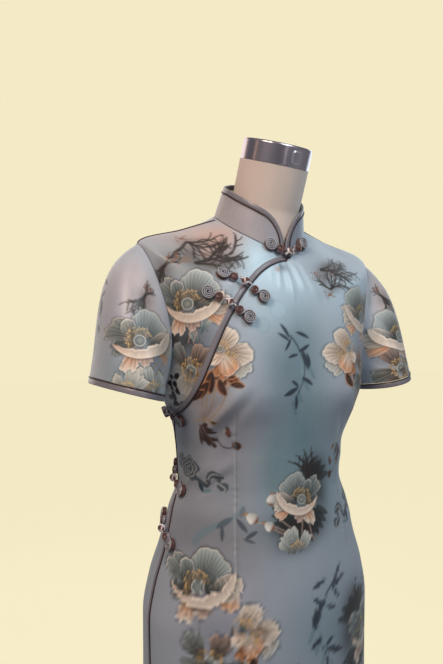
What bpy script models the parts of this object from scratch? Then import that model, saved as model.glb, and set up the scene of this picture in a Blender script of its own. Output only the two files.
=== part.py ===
"""Cheongsam worn by a limbless dress form on a round steel stand.

Frame: metres, +Z up, origin at the centre of the base plate's underside on the floor. The figure
faces -Y, so the wearer's left is +X. Angles round the body (phi) are measured from the centre
front, positive towards the wearer's left. A body level is the nominal height of a ring of cloth:
below the armpits a ring is level, and above them the rings climb over the shoulders to the neck.

Each cloth piece is a grid ruled between two edges on that surface, given its wall by Solidify.
"""

import math
from collections import namedtuple

import bpy
import bmesh
import numpy as np
from mathutils import Matrix, Vector
from mathutils.bvhtree import BVHTree

# ---------------------------------------------------------------- driving dimensions, metres
CLOTH = 0.0012  # wall of the satin panels
LAYER_GAP = 0.0004  # air between the front panel and the underlap beneath it
SEAM = 0.00045  # outer-face gap at a plain seam, which leaves 0.3 mm at the inner face
BINDING_WIDTH = 0.0070
BINDING_PROUD = 0.0004
PIPING_RADIUS = 0.0008
PIPING_PROUD = 0.0004
PIPING_LINE = BINDING_WIDTH + 0.0003 + PIPING_RADIUS  # from the bound edge to the piping's middle
PANEL_LINE = PIPING_LINE + PIPING_RADIUS + 0.0003  # from the bound edge to the panel's own edge
SHOULDER_GAP = 2 * (PIPING_RADIUS + 0.0003)  # the piped shoulder seam between front and back

HEM_LEVEL = 0.270
SLIT_LEVEL = 0.700
ARMPIT_LEVEL = 1.190
TIP_LEVEL = 1.330  # ring through the shoulder tips
NECK_LEVEL = 1.430
UNDERLAP_REACH = 0.018  # how far the underlap runs beneath the front panel
UNDERLAP_DROP = 0.0020  # how much deeper its far edge lies there
NECK_DROP = 0.0130  # how far its hidden part stops short of the neck seam, in level

COLLAR_HEIGHT = 0.045
COLLAR_CORNER_LENGTH = 0.040  # of its rounded front corners, along the seam
COLLAR_CORNER_HEIGHT = 0.034
COLLAR_WALL = 0.0022
COLLAR_HALF_GAP = 0.0016  # from the centre front to each collar edge, at the seam
COLLAR_SEAM = 0.0008  # from the neckline of the panels up to the collar

SHOULDER_ROWS = 4
ARMHOLE_ROWS = 10
SIDE_ROWS = 19
FRONT_COLUMNS = 22
BACK_COLUMNS = 16
UNDERLAP_COLUMNS = 6

# ---------------------------------------------------------------- the body surface
Ring = namedtuple("Ring", "level half_width y_side y_front y_back z_side z_front z_back power")
RINGS = (
    Ring(0.270, 0.172, 0.004, -0.098, 0.108, 0.270, 0.270, 0.270, 2.2),
    Ring(0.500, 0.168, 0.004, -0.102, 0.110, 0.500, 0.500, 0.500, 2.2),
    Ring(0.720, 0.174, 0.004, -0.110, 0.118, 0.720, 0.720, 0.720, 2.2),
    Ring(0.870, 0.174, 0.004, -0.114, 0.122, 0.870, 0.870, 0.870, 2.2),
    Ring(0.920, 0.1655, 0.004, -0.112, 0.116, 0.920, 0.920, 0.920, 2.2),
    Ring(0.965, 0.151, 0.004, -0.108, 0.106, 0.965, 0.965, 0.965, 2.2),
    Ring(1.015, 0.1382, 0.003, -0.101, 0.092, 1.015, 1.015, 1.015, 2.2),
    Ring(1.056, 0.1240, 0.002, -0.096, 0.086, 1.056, 1.056, 1.056, 2.2),
    Ring(1.100, 0.1262, 0.000, -0.098, 0.088, 1.100, 1.100, 1.100, 2.2),
    Ring(1.135, 0.1325, 0.000, -0.101, 0.092, 1.135, 1.135, 1.135, 2.3),
    Ring(1.165, 0.1440, 0.000, -0.103, 0.096, 1.165, 1.165, 1.165, 2.4),
    Ring(1.190, 0.1540, 0.000, -0.104, 0.100, 1.190, 1.190, 1.190, 2.4),
    Ring(1.260, 0.168, 0.002, -0.104, 0.106, 1.278, 1.255, 1.270, 2.4),
    Ring(1.330, 0.188, 0.006, -0.096, 0.104, 1.381, 1.315, 1.347, 2.2),
    Ring(1.385, 0.121, 0.008, -0.082, 0.085, 1.407, 1.346, 1.411, 2.1),
    Ring(1.430, 0.067, 0.004, -0.068, 0.062, 1.426, 1.368, 1.450, 2.0),
)
RIDGE_SOFTNESS = 0.15  # rounds the crest of the shoulders
RIDGE_END = 1.350  # level from which the crest fades into the even slope of the neck seam

Bust = namedtuple("Bust", "x z height spread above below")
BUST = Bust(x=0.082, z=1.185, height=0.020, spread=0.062, above=0.075, below=0.045)

Fold = namedtuple("Fold", "phi_0 level_0 phi_1 level_1 half_width height")
FOLDS = (
    Fold(-40.0, 1.185, -66.0, 1.120, 0.011, 0.0022),  # drag line from the right bust to the side
    Fold(-34.0, 1.165, -58.0, 1.095, 0.009, -0.0014),
    Fold(-60.0, 1.085, -86.0, 1.050, 0.010, 0.0016),  # break at the right waist
    Fold(-30.0, 1.085, -48.0, 1.060, 0.009, 0.0012),
    Fold(40.0, 1.180, 68.0, 1.112, 0.011, 0.0022),  # the same on the left
    Fold(58.0, 1.090, 84.0, 1.052, 0.010, 0.0016),
    Fold(12.0, 1.395, 14.0, 1.300, 0.007, 0.0012),  # soft pleats below the collar
    Fold(-8.0, 1.385, -5.0, 1.310, 0.006, 0.0010),
    Fold(150.0, 1.060, 205.0, 1.045, 0.013, 0.0020),  # slack across the small of the back
    Fold(158.0, 1.020, 212.0, 1.010, 0.012, 0.0015),
)
GIRTH_RADIUS = 0.14  # turns an angle into a length when a fold's distance is measured

SKIRT_WAVES = 7
SKIRT_WAVE_HEIGHT = 0.005
SKIRT_WAVE_TOP = 0.80

RINGS_BY_COLUMN = {name: np.array([getattr(ring, name) for ring in RINGS]) for name in Ring._fields}


def monotone_cubic(x, y, at):
    """Piecewise cubic through the points (x, y) that never overshoots them."""
    step = np.diff(x)
    slope = np.diff(y) / step
    tangent = np.zeros_like(y)
    tangent[0], tangent[-1] = slope[0], slope[-1]
    for i in range(1, len(y) - 1):
        if slope[i - 1] * slope[i] > 0:
            before, after = 2 * step[i] + step[i - 1], step[i] + 2 * step[i - 1]
            tangent[i] = (before + after) / (before / slope[i - 1] + after / slope[i])
    k = np.clip(np.searchsorted(x, at, side="right") - 1, 0, len(x) - 2)
    s = (at - x[k]) / step[k]
    return (
        (1 + 2 * s) * (1 - s) ** 2 * y[k]
        + s * (1 - s) ** 2 * step[k] * tangent[k]
        + s * s * (3 - 2 * s) * y[k + 1]
        + s * s * (s - 1) * step[k] * tangent[k + 1]
    )


def smoothstep(s):
    s = np.clip(s, 0.0, 1.0)
    return s * s * (3 - 2 * s)


def bare_body(phi, level):
    """Smooth outer face of the dress: a superellipse ring with the bust standing out of it."""
    phi, level = np.broadcast_arrays(np.asarray(phi, float), np.asarray(level, float))
    ring = {
        name: monotone_cubic(RINGS_BY_COLUMN["level"], RINGS_BY_COLUMN[name], level)
        for name in Ring._fields[1:]
    }
    cosine, sine = np.cos(phi), np.sin(phi)
    ahead = cosine >= 0
    depth = np.where(ahead, ring["y_side"] - ring["y_front"], ring["y_back"] - ring["y_side"])
    power = ring["power"]
    reach = (np.abs(cosine / depth) ** power + np.abs(sine / ring["half_width"]) ** power) ** (-1 / power)
    x = reach * sine
    y = ring["y_side"] - reach * cosine
    rise = (np.sqrt(cosine**2 + RIDGE_SOFTNESS**2) - RIDGE_SOFTNESS) / (
        math.sqrt(1 + RIDGE_SOFTNESS**2) - RIDGE_SOFTNESS
    )
    rise = 1 - (1 - rise) ** 2
    round_neck = np.where(ahead, 1 - np.arccos(np.clip(np.abs(cosine), 0, 1)) * 2 / math.pi, np.abs(cosine))
    even = smoothstep((level - RIDGE_END) / (RINGS[-1].level - RIDGE_END))
    rise = rise * (1 - even) + round_neck * even
    z = ring["z_side"] + (np.where(ahead, ring["z_front"], ring["z_back"]) - ring["z_side"]) * rise
    spread_z = np.where(z > BUST.z, BUST.above, BUST.below)
    bump = np.exp(-(((np.abs(x) - BUST.x) / BUST.spread) ** 2) - ((z - BUST.z) / spread_z) ** 2)
    y = y - BUST.height * bump * np.clip(2 * cosine, 0, 1)
    return np.stack([x, y, z], -1)


def fold_height(phi, level):
    """How far the folds and the skirt's waves stand out of the smooth surface."""
    phi, level = np.broadcast_arrays(np.asarray(phi, float), np.asarray(level, float))
    height = np.zeros(phi.shape)
    for fold in FOLDS:
        start = np.array([math.radians(fold.phi_0) * GIRTH_RADIUS, fold.level_0])
        along = np.array([math.radians(fold.phi_1) * GIRTH_RADIUS, fold.level_1]) - start
        turns = np.round((math.radians(fold.phi_0) - phi) / math.tau)
        place = np.stack([(phi + turns * math.tau) * GIRTH_RADIUS, level], -1) - start
        share = np.clip(place @ along / (along @ along), -0.2, 1.2)
        across = np.linalg.norm(place - share[..., None] * along, axis=-1)
        taper = np.exp(-((np.clip(share, 0, 1) - share) ** 2) / 0.02) * np.sin(
            math.pi * np.clip(0.12 + 0.76 * share, 0, 1)
        )
        height = height + fold.height * taper * np.exp(-((across / fold.half_width) ** 2))
    drop = np.clip((SKIRT_WAVE_TOP - level) / (SKIRT_WAVE_TOP - HEM_LEVEL), 0, 1)
    return height + SKIRT_WAVE_HEIGHT * drop**1.5 * np.sin(SKIRT_WAVES * phi + 0.6)


STEP = 1e-4  # for slopes of the surface


def slopes(phi, level):
    """Change of the body point for each radian round and each metre of level."""
    low = np.maximum(level - STEP, HEM_LEVEL)
    high = np.minimum(level + STEP, NECK_LEVEL)
    round_body = (bare_body(phi + STEP, level) - bare_body(phi - STEP, level)) / (2 * STEP)
    up_body = (bare_body(phi, high) - bare_body(phi, low)) / (high - low)[..., None]
    return round_body, up_body


def unit(v):
    return v / np.linalg.norm(v, axis=-1, keepdims=True)


def body_normal(phi, level):
    return unit(np.cross(*slopes(phi, level)))


def dress(phi, level, lift=0.0):
    """Point of the cloth's outer face, folds included, moved out by lift."""
    phi, level = np.broadcast_arrays(np.asarray(phi, float), np.asarray(level, float))
    out = fold_height(phi, level) + lift
    return bare_body(phi, level) + out[..., None] * body_normal(phi, level)


# ---------------------------------------------------------------- edges, as (phi, level) pairs
EdgePoint = namedtuple("EdgePoint", "phi level")
NECK_STEP = 0.006  # from the opening's first point to its second
CORNER_EASE = 0.0010  # extra room beside the piping at the front panel's neck corner
OPENING_SHORT = 0.0014  # how far the opening's binding stops short of the neck seam, in level
OPENING = (  # front opening from the centre front neck across the chest to the right armpit
    EdgePoint(-1.4, NECK_LEVEL - OPENING_SHORT),
    EdgePoint(-7.5, 1.4175),
    EdgePoint(-17.0, 1.4010),
    EdgePoint(-25.0, 1.3868),
    EdgePoint(-31.8, 1.3715),
    EdgePoint(-37.6, 1.3490),
    EdgePoint(-41.8, 1.3245),
    EdgePoint(-47.0, 1.2962),
    EdgePoint(-51.5, 1.2740),
    EdgePoint(-57.0, 1.2440),
    EdgePoint(-60.6, 1.2240),
    EdgePoint(-64.2, 1.2045),
    EdgePoint(-68.0, 1.1890),
    EdgePoint(-73.0, 1.1755),
    EdgePoint(-80.5, 1.1630),
    EdgePoint(-88.5, 1.1560),
)
SIDE_EDGE = (  # front panel's right side edge below the armpit, down to the hem
    EdgePoint(-84.0, 0.270),
    EdgePoint(-87.0, 0.700),
    EdgePoint(-90.5, 0.900),
    EdgePoint(-91.5, 0.970),
    EdgePoint(-92.5, 1.002),
    EdgePoint(-96.0, 1.030),
    EdgePoint(-102.0, 1.055),
    EdgePoint(-105.0, 1.080),
    EdgePoint(-105.0, 1.105),
    EdgePoint(-99.5, 1.132),
    EdgePoint(-88.5, 1.156),
)
SIDE_SEAM = math.radians(90)
BACK_SEAM_MARGIN = math.radians(5)  # from the front's right edge to where underlap meets back
SLIT_FRONT = namedtuple("SlitEdge", "top hem")(math.radians(88.6), math.radians(86.0))
SLIT_BACK = namedtuple("SlitEdge", "top hem")(math.radians(91.4), math.radians(94.0))
ARMHOLE_FRONT_REACH = math.radians(15.5)
ARMHOLE_BACK_REACH = math.radians(17.0)


def metric_step(points, moves):
    """The (phi, level) step that moves each surface point by the given vector."""
    round_body, up_body = slopes(points[:, 0], points[:, 1])
    a = (round_body * round_body).sum(1)
    b = (round_body * up_body).sum(1)
    c = (up_body * up_body).sum(1)
    p, q = (moves * round_body).sum(1), (moves * up_body).sum(1)
    area = a * c - b * b
    return np.stack([(c * p - b * q) / area, (a * q - b * p) / area], 1)


def inset_path(path, distance, passes=0):
    """The path moved over the surface to its left by distance, mitred where it turns.

    Each smoothing pass spreads a sharp turn over more points, for a wide inset.
    """
    places = bare_body(path[:, 0], path[:, 1])
    normals = body_normal(path[:, 0], path[:, 1])
    runs = unit(np.diff(places, axis=0))
    before = np.vstack([runs[:1], runs])
    after = np.vstack([runs, runs[-1:]])
    left_before, left_after = unit(np.cross(normals, before)), unit(np.cross(normals, after))
    mitre = (left_before + left_after) / (1 + (left_before * left_after).sum(1, keepdims=True))
    for _ in range(passes):
        mitre[1:-1] = (mitre[:-2] + 2 * mitre[1:-1] + mitre[2:]) / 4
    return path + metric_step(path, mitre * distance)


def to_neck(line, short=0.0):
    """The same line with its first point slid along it to the neck seam, or a little short of it."""
    run = line[0] - line[1]
    line = line.copy()
    line[0] = line[1] + run * (NECK_LEVEL - short - line[1, 1]) / run[1]
    return line


def spaced_curve(table, count):
    """count points spread evenly along a smooth curve through the table's (phi, level) points."""
    knots = np.array([[math.radians(p.phi), p.level] for p in table])
    flat = knots * [GIRTH_RADIUS, 1]
    along = np.concatenate([[0], np.cumsum(np.linalg.norm(np.diff(flat, axis=0), axis=1))])
    at = np.concatenate([[0], np.linspace(NECK_STEP, along[-1], count - 1)])
    return np.stack([monotone_cubic(along, knots[:, k], at) for k in (0, 1)], 1)


def side_levels():
    """Levels of the rows below the armpit, closer together where the waist and slit top are."""
    upper = np.linspace(ARMPIT_LEVEL, SLIT_LEVEL + 0.0015, SIDE_ROWS - 5)
    lower = np.linspace(SLIT_LEVEL - 0.0015, HEM_LEVEL, 6)
    return np.concatenate([upper, lower])


def armhole(turn, side, is_front):
    """(phi, level) of the armhole's edge. turn runs from 0 at the shoulder tip to pi at the armpit."""
    middle = (TIP_LEVEL + ARMPIT_LEVEL) / 2
    level = middle + (TIP_LEVEL - ARMPIT_LEVEL) / 2 * np.cos(turn)
    reach = -ARMHOLE_FRONT_REACH if is_front else ARMHOLE_BACK_REACH
    return np.stack([side * (SIDE_SEAM + reach * np.sin(turn)), level], 1)


def outer_edge(side, is_front, seam_below):
    """Neck to armpit by the shoulder seam and armhole, then down the side to the hem."""
    sign = -1 if is_front else 1
    shoulder = np.linspace(NECK_LEVEL, TIP_LEVEL, SHOULDER_ROWS + 1)
    seam = np.stack([np.full(SHOULDER_ROWS + 1, side * SIDE_SEAM), shoulder], 1)
    width = np.linalg.norm(slopes(seam[:, 0], seam[:, 1])[0], axis=1)
    seam[:, 0] += side * sign * SHOULDER_GAP / 2 / width
    hole = armhole(np.linspace(0, math.pi, ARMHOLE_ROWS + 1), side, is_front)
    hole[0] = seam[-1]
    levels = side_levels()
    below = np.stack([seam_below(levels), levels], 1)
    hole[-1] = below[0]
    return np.vstack([seam, hole[1:], below[1:]])


def left_seam(sign, slit):
    """Angle of a panel's left edge at each level: the side seam, then the slit."""

    def angle(levels):
        width = np.linalg.norm(slopes(np.full(levels.shape, SIDE_SEAM), levels)[0], axis=1)
        drop = np.clip((SLIT_LEVEL - levels) / (SLIT_LEVEL - HEM_LEVEL), 0, 1)
        open_edge = slit.top + (slit.hem - slit.top) * drop
        return np.where(levels > SLIT_LEVEL, SIDE_SEAM + sign * SEAM / 2 / width, open_edge)

    return angle


def side_edge(levels):
    knots = np.array([[math.radians(p.phi), p.level] for p in SIDE_EDGE])
    return monotone_cubic(knots[:, 1], knots[:, 0], np.minimum(levels, SIDE_EDGE[-1].level))


def right_back_seam(levels):
    """Angle of the seam that joins underlap and back, just outside the front's bound edge."""
    share = smoothstep((ARMPIT_LEVEL - levels) / 0.03)
    return -SIDE_SEAM * (1 - share) + (side_edge(levels) - BACK_SEAM_MARGIN) * share


def front_right_edge():
    """The front panel's bound edge: the opening, then the side down to the hem."""
    opening = spaced_curve(OPENING, SHOULDER_ROWS + ARMHOLE_ROWS + 1)
    levels = side_levels()[1:].copy()
    levels[0] = OPENING[-1].level * 0.55 + levels[1] * 0.45
    return np.vstack([opening, np.stack([side_edge(levels), levels], 1)])


# ---------------------------------------------------------------- meshes
COLLECTION = bpy.data.collections.new("Cheongsam_on_dress_form")


def material(name, colour, roughness, metallic=0.0):
    made = bpy.data.materials.new(name)
    made.use_nodes = True
    shader = made.node_tree.nodes["Principled BSDF"]
    shader.inputs["Base Color"].default_value = (*colour, 1.0)
    shader.inputs["Roughness"].default_value = roughness
    shader.inputs["Metallic"].default_value = metallic
    return made


def add_object(name, data, finish):
    data.materials.append(finish)
    obj = bpy.data.objects.new(name, data)
    COLLECTION.objects.link(obj)
    return obj


def grid_mesh(name, points, wrap=False):
    """A sheet of quads through a (rows, columns, 3) array. wrap joins the last column to the first."""
    rows, columns = points.shape[:2]
    corner = np.arange(rows * columns).reshape(rows, columns)
    if wrap:
        corner = np.hstack([corner, corner[:, :1]])
    faces = np.stack([corner[:-1, :-1], corner[:-1, 1:], corner[1:, 1:], corner[1:, :-1]], -1)
    mesh = bpy.data.meshes.new(name)
    mesh.from_pydata(points.reshape(-1, 3).tolist(), [], faces.reshape(-1, 4).tolist())
    mesh.shade_smooth()
    return mesh


def sheet(name, points, wall, finish, wrap=False):
    """A cloth wall whose outer face is the grid, whose rows run up and columns run to the left."""
    obj = add_object(name, grid_mesh(name, points, wrap), finish)
    solidify = obj.modifiers.new("Wall", "SOLIDIFY")
    solidify.thickness = wall
    solidify.offset = -1.0
    return obj


def ruled(edge_a, edge_b, columns):
    """(phi, level) grid between two edges with the same number of points."""
    share = np.linspace(0, 1, columns + 1)[None, :, None]
    return edge_a[:, None] * (1 - share) + edge_b[:, None] * share


def dress_grid(grid, lift=0.0):
    return dress(grid[..., 0], grid[..., 1], lift)


def cord(name, points, radius, finish):
    """A thin cord with square section along the points."""
    curve = bpy.data.curves.new(name, "CURVE")
    curve.dimensions = "3D"
    curve.bevel_depth = radius
    curve.bevel_resolution = 0
    curve.use_fill_caps = True
    spline = curve.splines.new("POLY")
    spline.points.add(len(points) - 1)
    spline.points.foreach_set("co", np.hstack([points, np.ones((len(points), 1))]).ravel())
    return add_object(name, curve, finish)


def bound_edge(name, path, finishes, at_neck=False):
    """The binding along a path on the dress, and the piping sewn beside it."""
    inner, line = inset_path(path, BINDING_WIDTH), inset_path(path, PIPING_LINE)
    if at_neck:
        inner, line = to_neck(inner, OPENING_SHORT), to_neck(line, 3 * OPENING_SHORT)
    strip = np.stack([path, inner], 1)[::-1]
    sheet(f"{name}_binding", dress_grid(strip, BINDING_PROUD), CLOTH + BINDING_PROUD, finishes["binding"])
    cord(f"{name}_piping", dress(line[:, 0], line[:, 1], PIPING_PROUD), PIPING_RADIUS, finishes["piping"])


def turned(name, profile, steps, finish, placement=Matrix.Identity(4)):
    """A solid of revolution about +Z from (radius, height) pairs that run down its outer side."""
    mesh = bpy.data.meshes.new(name)
    verts = [(radius, 0.0, height) for radius, height in profile]
    mesh.from_pydata(verts, [(i, i + 1) for i in range(len(verts) - 1)], [])
    obj = add_object(name, mesh, finish)
    screw = obj.modifiers.new("Turn", "SCREW")
    screw.steps = screw.render_steps = steps
    screw.use_merge_vertices = True
    screw.merge_threshold = 1e-5
    screw.use_smooth_shade = True
    obj.matrix_world = placement
    return obj


# ---------------------------------------------------------------- dress panels
def hem_corner(path_right, path_left):
    """The bound path from the top of the right edge, round the hem, to the top of the left slit."""
    hem = ruled(path_right[-1:], path_left[-1:], FRONT_COLUMNS)[0]
    return np.vstack([path_right, hem[1:-1], path_left[::-1]])


def build_front(finishes):
    """Main front: from the left side seam to the bound opening and right side edge."""
    right = front_right_edge()
    left = outer_edge(1, True, left_seam(-1, SLIT_FRONT))
    slit_rows = left[:, 1] < SLIT_LEVEL
    path = hem_corner(right, left[slit_rows])
    inner = inset_path(path, PANEL_LINE)
    inner[0] = to_neck(inset_path(path, PANEL_LINE + CORNER_EASE))[0]
    inner_right = inner[: len(right)]
    inner_left = left.copy()
    inner_left[slit_rows] = inner[len(inner) - slit_rows.sum() :][::-1]
    grid = ruled(inner_right, inner_left, FRONT_COLUMNS)[::-1]
    sheet("front_panel", dress_grid(grid), CLOTH, finishes["print"])
    bound_edge("front", path, finishes, at_neck=True)
    return right


def build_back(finishes):
    """Back: one piece from side to side, open at the slits below."""
    left = outer_edge(1, False, left_seam(1, SLIT_BACK))

    def right_side(levels):
        drop = np.clip((SLIT_LEVEL - levels) / (SLIT_LEVEL - HEM_LEVEL), 0, 1)
        slit = -(SLIT_BACK.top + (SLIT_BACK.hem - SLIT_BACK.top) * drop)
        return np.where(levels > SLIT_LEVEL, right_back_seam(levels), slit)

    right = outer_edge(-1, False, right_side)
    right[:, 0] += math.tau
    slit_rows = left[:, 1] < SLIT_LEVEL
    path = hem_corner(left[slit_rows], right[slit_rows])
    inner = inset_path(path, PANEL_LINE)
    inner_left, inner_right = left.copy(), right.copy()
    inner_left[slit_rows] = inner[: slit_rows.sum()]
    inner_right[slit_rows] = inner[len(inner) - slit_rows.sum() :][::-1]
    sheet("back_panel", dress_grid(ruled(inner_left, inner_right, BACK_COLUMNS)[::-1]), CLOTH, finishes["print"])
    bound_edge("back", path, finishes)


def build_underlap(front_edge, finishes):
    """Right chest piece that carries on under the front panel and down the side opening."""

    def side(levels):
        return right_back_seam(levels) + SEAM / GIRTH_RADIUS

    outer = outer_edge(-1, True, side)
    rows = (outer[:, 1] > SLIT_LEVEL).sum()
    outer, edge = outer[:rows], front_edge[:rows]
    inner = inset_path(edge, UNDERLAP_REACH, passes=6)
    inner[0, 1] = NECK_LEVEL
    grid = np.hstack([ruled(outer, edge, UNDERLAP_COLUMNS), ruled(edge, inner, 2)[:, 1:]])
    places = dress_grid(grid)
    exposed = np.linalg.norm(places - places[:, UNDERLAP_COLUMNS, None], axis=-1)
    hidden = np.concatenate([np.zeros(UNDERLAP_COLUMNS), np.linspace(0, 1, 3)])
    exposed[:, UNDERLAP_COLUMNS:] = 0.0
    grid[0, :, 1] -= NECK_DROP * hidden
    depth = (CLOTH + LAYER_GAP) * (1 - smoothstep(exposed / 0.015)) + UNDERLAP_DROP * hidden
    depth[0, UNDERLAP_COLUMNS:] += 0.0006
    sheet("underlap", dress_grid(grid, -depth)[::-1], CLOTH, finishes["print"])


def build_shoulder_piping(finishes):
    for name, side in (("right", -1), ("left", 1)):
        levels = np.linspace(NECK_LEVEL - 0.004, TIP_LEVEL + 0.004, 2 * SHOULDER_ROWS + 1)
        cord(
            f"shoulder_piping_{name}",
            dress(np.full(levels.shape, side * SIDE_SEAM), levels, PIPING_PROUD),
            PIPING_RADIUS,
            finishes["piping"],
        )


# ---------------------------------------------------------------- sleeves
CUFF_CENTRE = Vector((0.209, -0.006, 1.184))
CUFF_HALF_DEPTH = 0.080  # front to back
CUFF_HALF_WIDTH = 0.046  # body side to outer side
CUFF_TILT = math.radians(15)  # of the sleeve from plumb
SLEEVE_RINGS = 7
SLEEVE_GAP = 0.0005
SLEEVE_EASE = 1.1  # how far the sleeve keeps its direction at either end


def sleeve_point(turn, along, side, lift=0.0):
    """Outer face of a sleeve. turn is 0 on top, growing over the front; along is 0 to 1 down it."""
    turn, along = np.broadcast_arrays(np.asarray(turn, float), np.asarray(along, float))
    ahead = np.sin(turn) >= 0
    hole = np.where(
        ahead[..., None],
        armhole(turn.ravel(), 1, True).reshape(turn.shape + (2,)),
        armhole(-turn.ravel(), 1, False).reshape(turn.shape + (2,)),
    )
    start = bare_body(hole[..., 0], hole[..., 1])
    top = (1 + np.cos(turn)) / 2
    leave = unit(np.stack([0.60 + 0.25 * top, -0.60 * np.sin(turn), -0.80 + 0.35 * top], -1))
    start = start + SLEEVE_GAP * np.stack([np.ones(top.shape), 0 * top, 0 * top], -1)
    tilt_x, tilt_z = math.cos(CUFF_TILT), math.sin(CUFF_TILT)
    end = np.stack(
        [
            CUFF_CENTRE.x + CUFF_HALF_WIDTH * np.cos(turn) * tilt_x,
            CUFF_CENTRE.y - CUFF_HALF_DEPTH * np.sin(turn),
            CUFF_CENTRE.z + CUFF_HALF_WIDTH * np.cos(turn) * tilt_z,
        ],
        -1,
    )
    arrive = np.array([0.25, 0.0, -0.97])
    reach = SLEEVE_EASE * np.linalg.norm(end - start, axis=-1, keepdims=True)
    leave, arrive = leave * reach, arrive * reach
    s = along[..., None]
    point = (
        (1 + 2 * s) * (1 - s) ** 2 * start
        + s * (1 - s) ** 2 * leave
        + s * s * (3 - 2 * s) * end
        + s * s * (s - 1) * arrive
    )
    point = point * np.array([side, 1, 1])
    if np.any(lift):
        e = 1e-3
        around = sleeve_point(turn + e, along, side) - sleeve_point(turn - e, along, side)
        down = sleeve_point(turn, np.minimum(along + e, 1), side) - sleeve_point(
            turn, np.maximum(along - e, 0), side
        )
        point = point + lift * side * unit(np.cross(around, down)) * -1
    return point


def sleeve_share(turn, side, distance):
    """How far along the sleeve each line lies that is the given distance above the cuff's edge."""
    share = np.linspace(0, 1, 61)
    lines = sleeve_point(turn[:, None], share[None, ::-1], side)
    steps = np.linalg.norm(np.diff(lines, axis=1), axis=-1)
    climbed = np.hstack([np.zeros((len(turn), 1)), np.cumsum(steps, axis=1)])
    return np.array([np.interp(distance, row, share[::-1]) for row in climbed])


def build_sleeve(name, side, finishes):
    turns = np.linspace(0, math.tau, 2 * ARMHOLE_ROWS, endpoint=False)
    order = turns if side < 0 else turns[::-1]
    panel_end = sleeve_share(order, side, PANEL_LINE)
    share = np.linspace(0, 1, SLEEVE_RINGS + 1)[::-1, None]
    sheet(f"sleeve_{name}", sleeve_point(order, share * panel_end, side), CLOTH, finishes["print"], wrap=True)
    band = np.stack([np.ones(order.shape), sleeve_share(order, side, BINDING_WIDTH)])
    sheet(
        f"sleeve_{name}_binding",
        sleeve_point(order, band, side, BINDING_PROUD),
        CLOTH + BINDING_PROUD,
        finishes["binding"],
        wrap=True,
    )
    line = sleeve_point(order, sleeve_share(order, side, PIPING_LINE), side, PIPING_PROUD)
    cord(f"sleeve_{name}_piping", line, PIPING_RADIUS, finishes["piping"]).data.splines[0].use_cyclic_u = True


# ---------------------------------------------------------------- collar
CollarTop = namedtuple("CollarTop", "half_width y_side y_front y_back rise rise_ahead")
COLLAR_TOP = CollarTop(0.0580, -0.0126, -0.0716, 0.0470, 0.0415, 0.0030)


def collar_ring():
    """Angles round the neck seam, and the length of seam from the centre front to each."""
    angles = np.linspace(0, math.pi, 181)
    places = bare_body(angles, NECK_LEVEL)
    lengths = np.concatenate([[0], np.cumsum(np.linalg.norm(np.diff(places, axis=0), axis=1))])
    return angles, lengths


COLLAR_ANGLES, COLLAR_LENGTHS = collar_ring()


def collar_point(x, height, lift=0.0):
    """Outer face of the stand collar, from length along the neck seam and height above it."""
    x, height = np.broadcast_arrays(np.asarray(x, float), np.asarray(height, float))
    phi = np.sign(x) * np.interp(np.abs(x), COLLAR_LENGTHS, COLLAR_ANGLES)
    base = bare_body(phi, NECK_LEVEL)
    cosine, sine = np.cos(phi), np.sin(phi)
    top = COLLAR_TOP
    ahead = cosine >= 0
    depth = np.where(ahead, top.y_side - top.y_front, top.y_back - top.y_side)
    reach = 1 / np.sqrt((cosine / depth) ** 2 + (sine / top.half_width) ** 2)
    rim = np.stack(
        [
            reach * sine,
            top.y_side - reach * cosine,
            base[..., 2] + top.rise + top.rise_ahead * cosine,
        ],
        -1,
    )
    rise = unit(rim - base)
    round_neck = unit(bare_body(phi + STEP, NECK_LEVEL) - bare_body(phi - STEP, NECK_LEVEL))
    out = unit(np.cross(round_neck, rise))
    return base + rise * height[..., None] + out * np.asarray(lift + 0 * height)[..., None]


def collar_outline(distance):
    """(x, height) points of the left collar half's free edge, moved in by distance."""
    corner = np.linspace(math.pi, math.pi / 2, 10)
    arc = np.stack(
        [
            COLLAR_HALF_GAP + COLLAR_CORNER_LENGTH + (COLLAR_CORNER_LENGTH - distance) * np.cos(corner),
            COLLAR_HEIGHT - COLLAR_CORNER_HEIGHT + (COLLAR_CORNER_HEIGHT - distance) * np.sin(corner),
        ],
        1,
    )
    run = np.linspace(COLLAR_HALF_GAP + COLLAR_CORNER_LENGTH, COLLAR_LENGTHS[-1], 14)[1:]
    top = np.stack([run, np.full(run.shape, COLLAR_HEIGHT - distance)], 1)
    return np.vstack([arc, top])


def both_halves(half):
    """The right half's points, mirrored, then the left's."""
    return np.vstack([half * [-1, 1], half[-2::-1]])


def build_collar(finishes):
    half = collar_outline(PANEL_LINE)
    whole = both_halves(half)
    share = np.linspace(0, 1, 4)[:, None]
    heights = COLLAR_SEAM + (whole[:, 1] - COLLAR_SEAM) * share
    columns = np.broadcast_to(whole[:, 0], heights.shape)
    collar = sheet("collar", collar_point(columns, heights)[:, ::-1], COLLAR_WALL, finishes["collar"])
    foot = np.array([[COLLAR_HALF_GAP, COLLAR_SEAM], [COLLAR_HALF_GAP, 0.009]])
    edge = both_halves(np.vstack([foot, collar_outline(0.0)]))
    inside = both_halves(np.vstack([foot + [BINDING_WIDTH, 0], collar_outline(BINDING_WIDTH)]))
    strip = np.stack([edge, inside])
    sheet(
        "collar_binding",
        collar_point(strip[..., 0], strip[..., 1], BINDING_PROUD),
        COLLAR_WALL + 2 * BINDING_PROUD,
        finishes["binding"],
    )
    line = both_halves(np.vstack([foot + [PIPING_LINE, 0.0008], collar_outline(PIPING_LINE)]))
    cord("collar_piping", collar_point(line[:, 0], line[:, 1], PIPING_PROUD), PIPING_RADIUS, finishes["piping"])
    return collar


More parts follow.
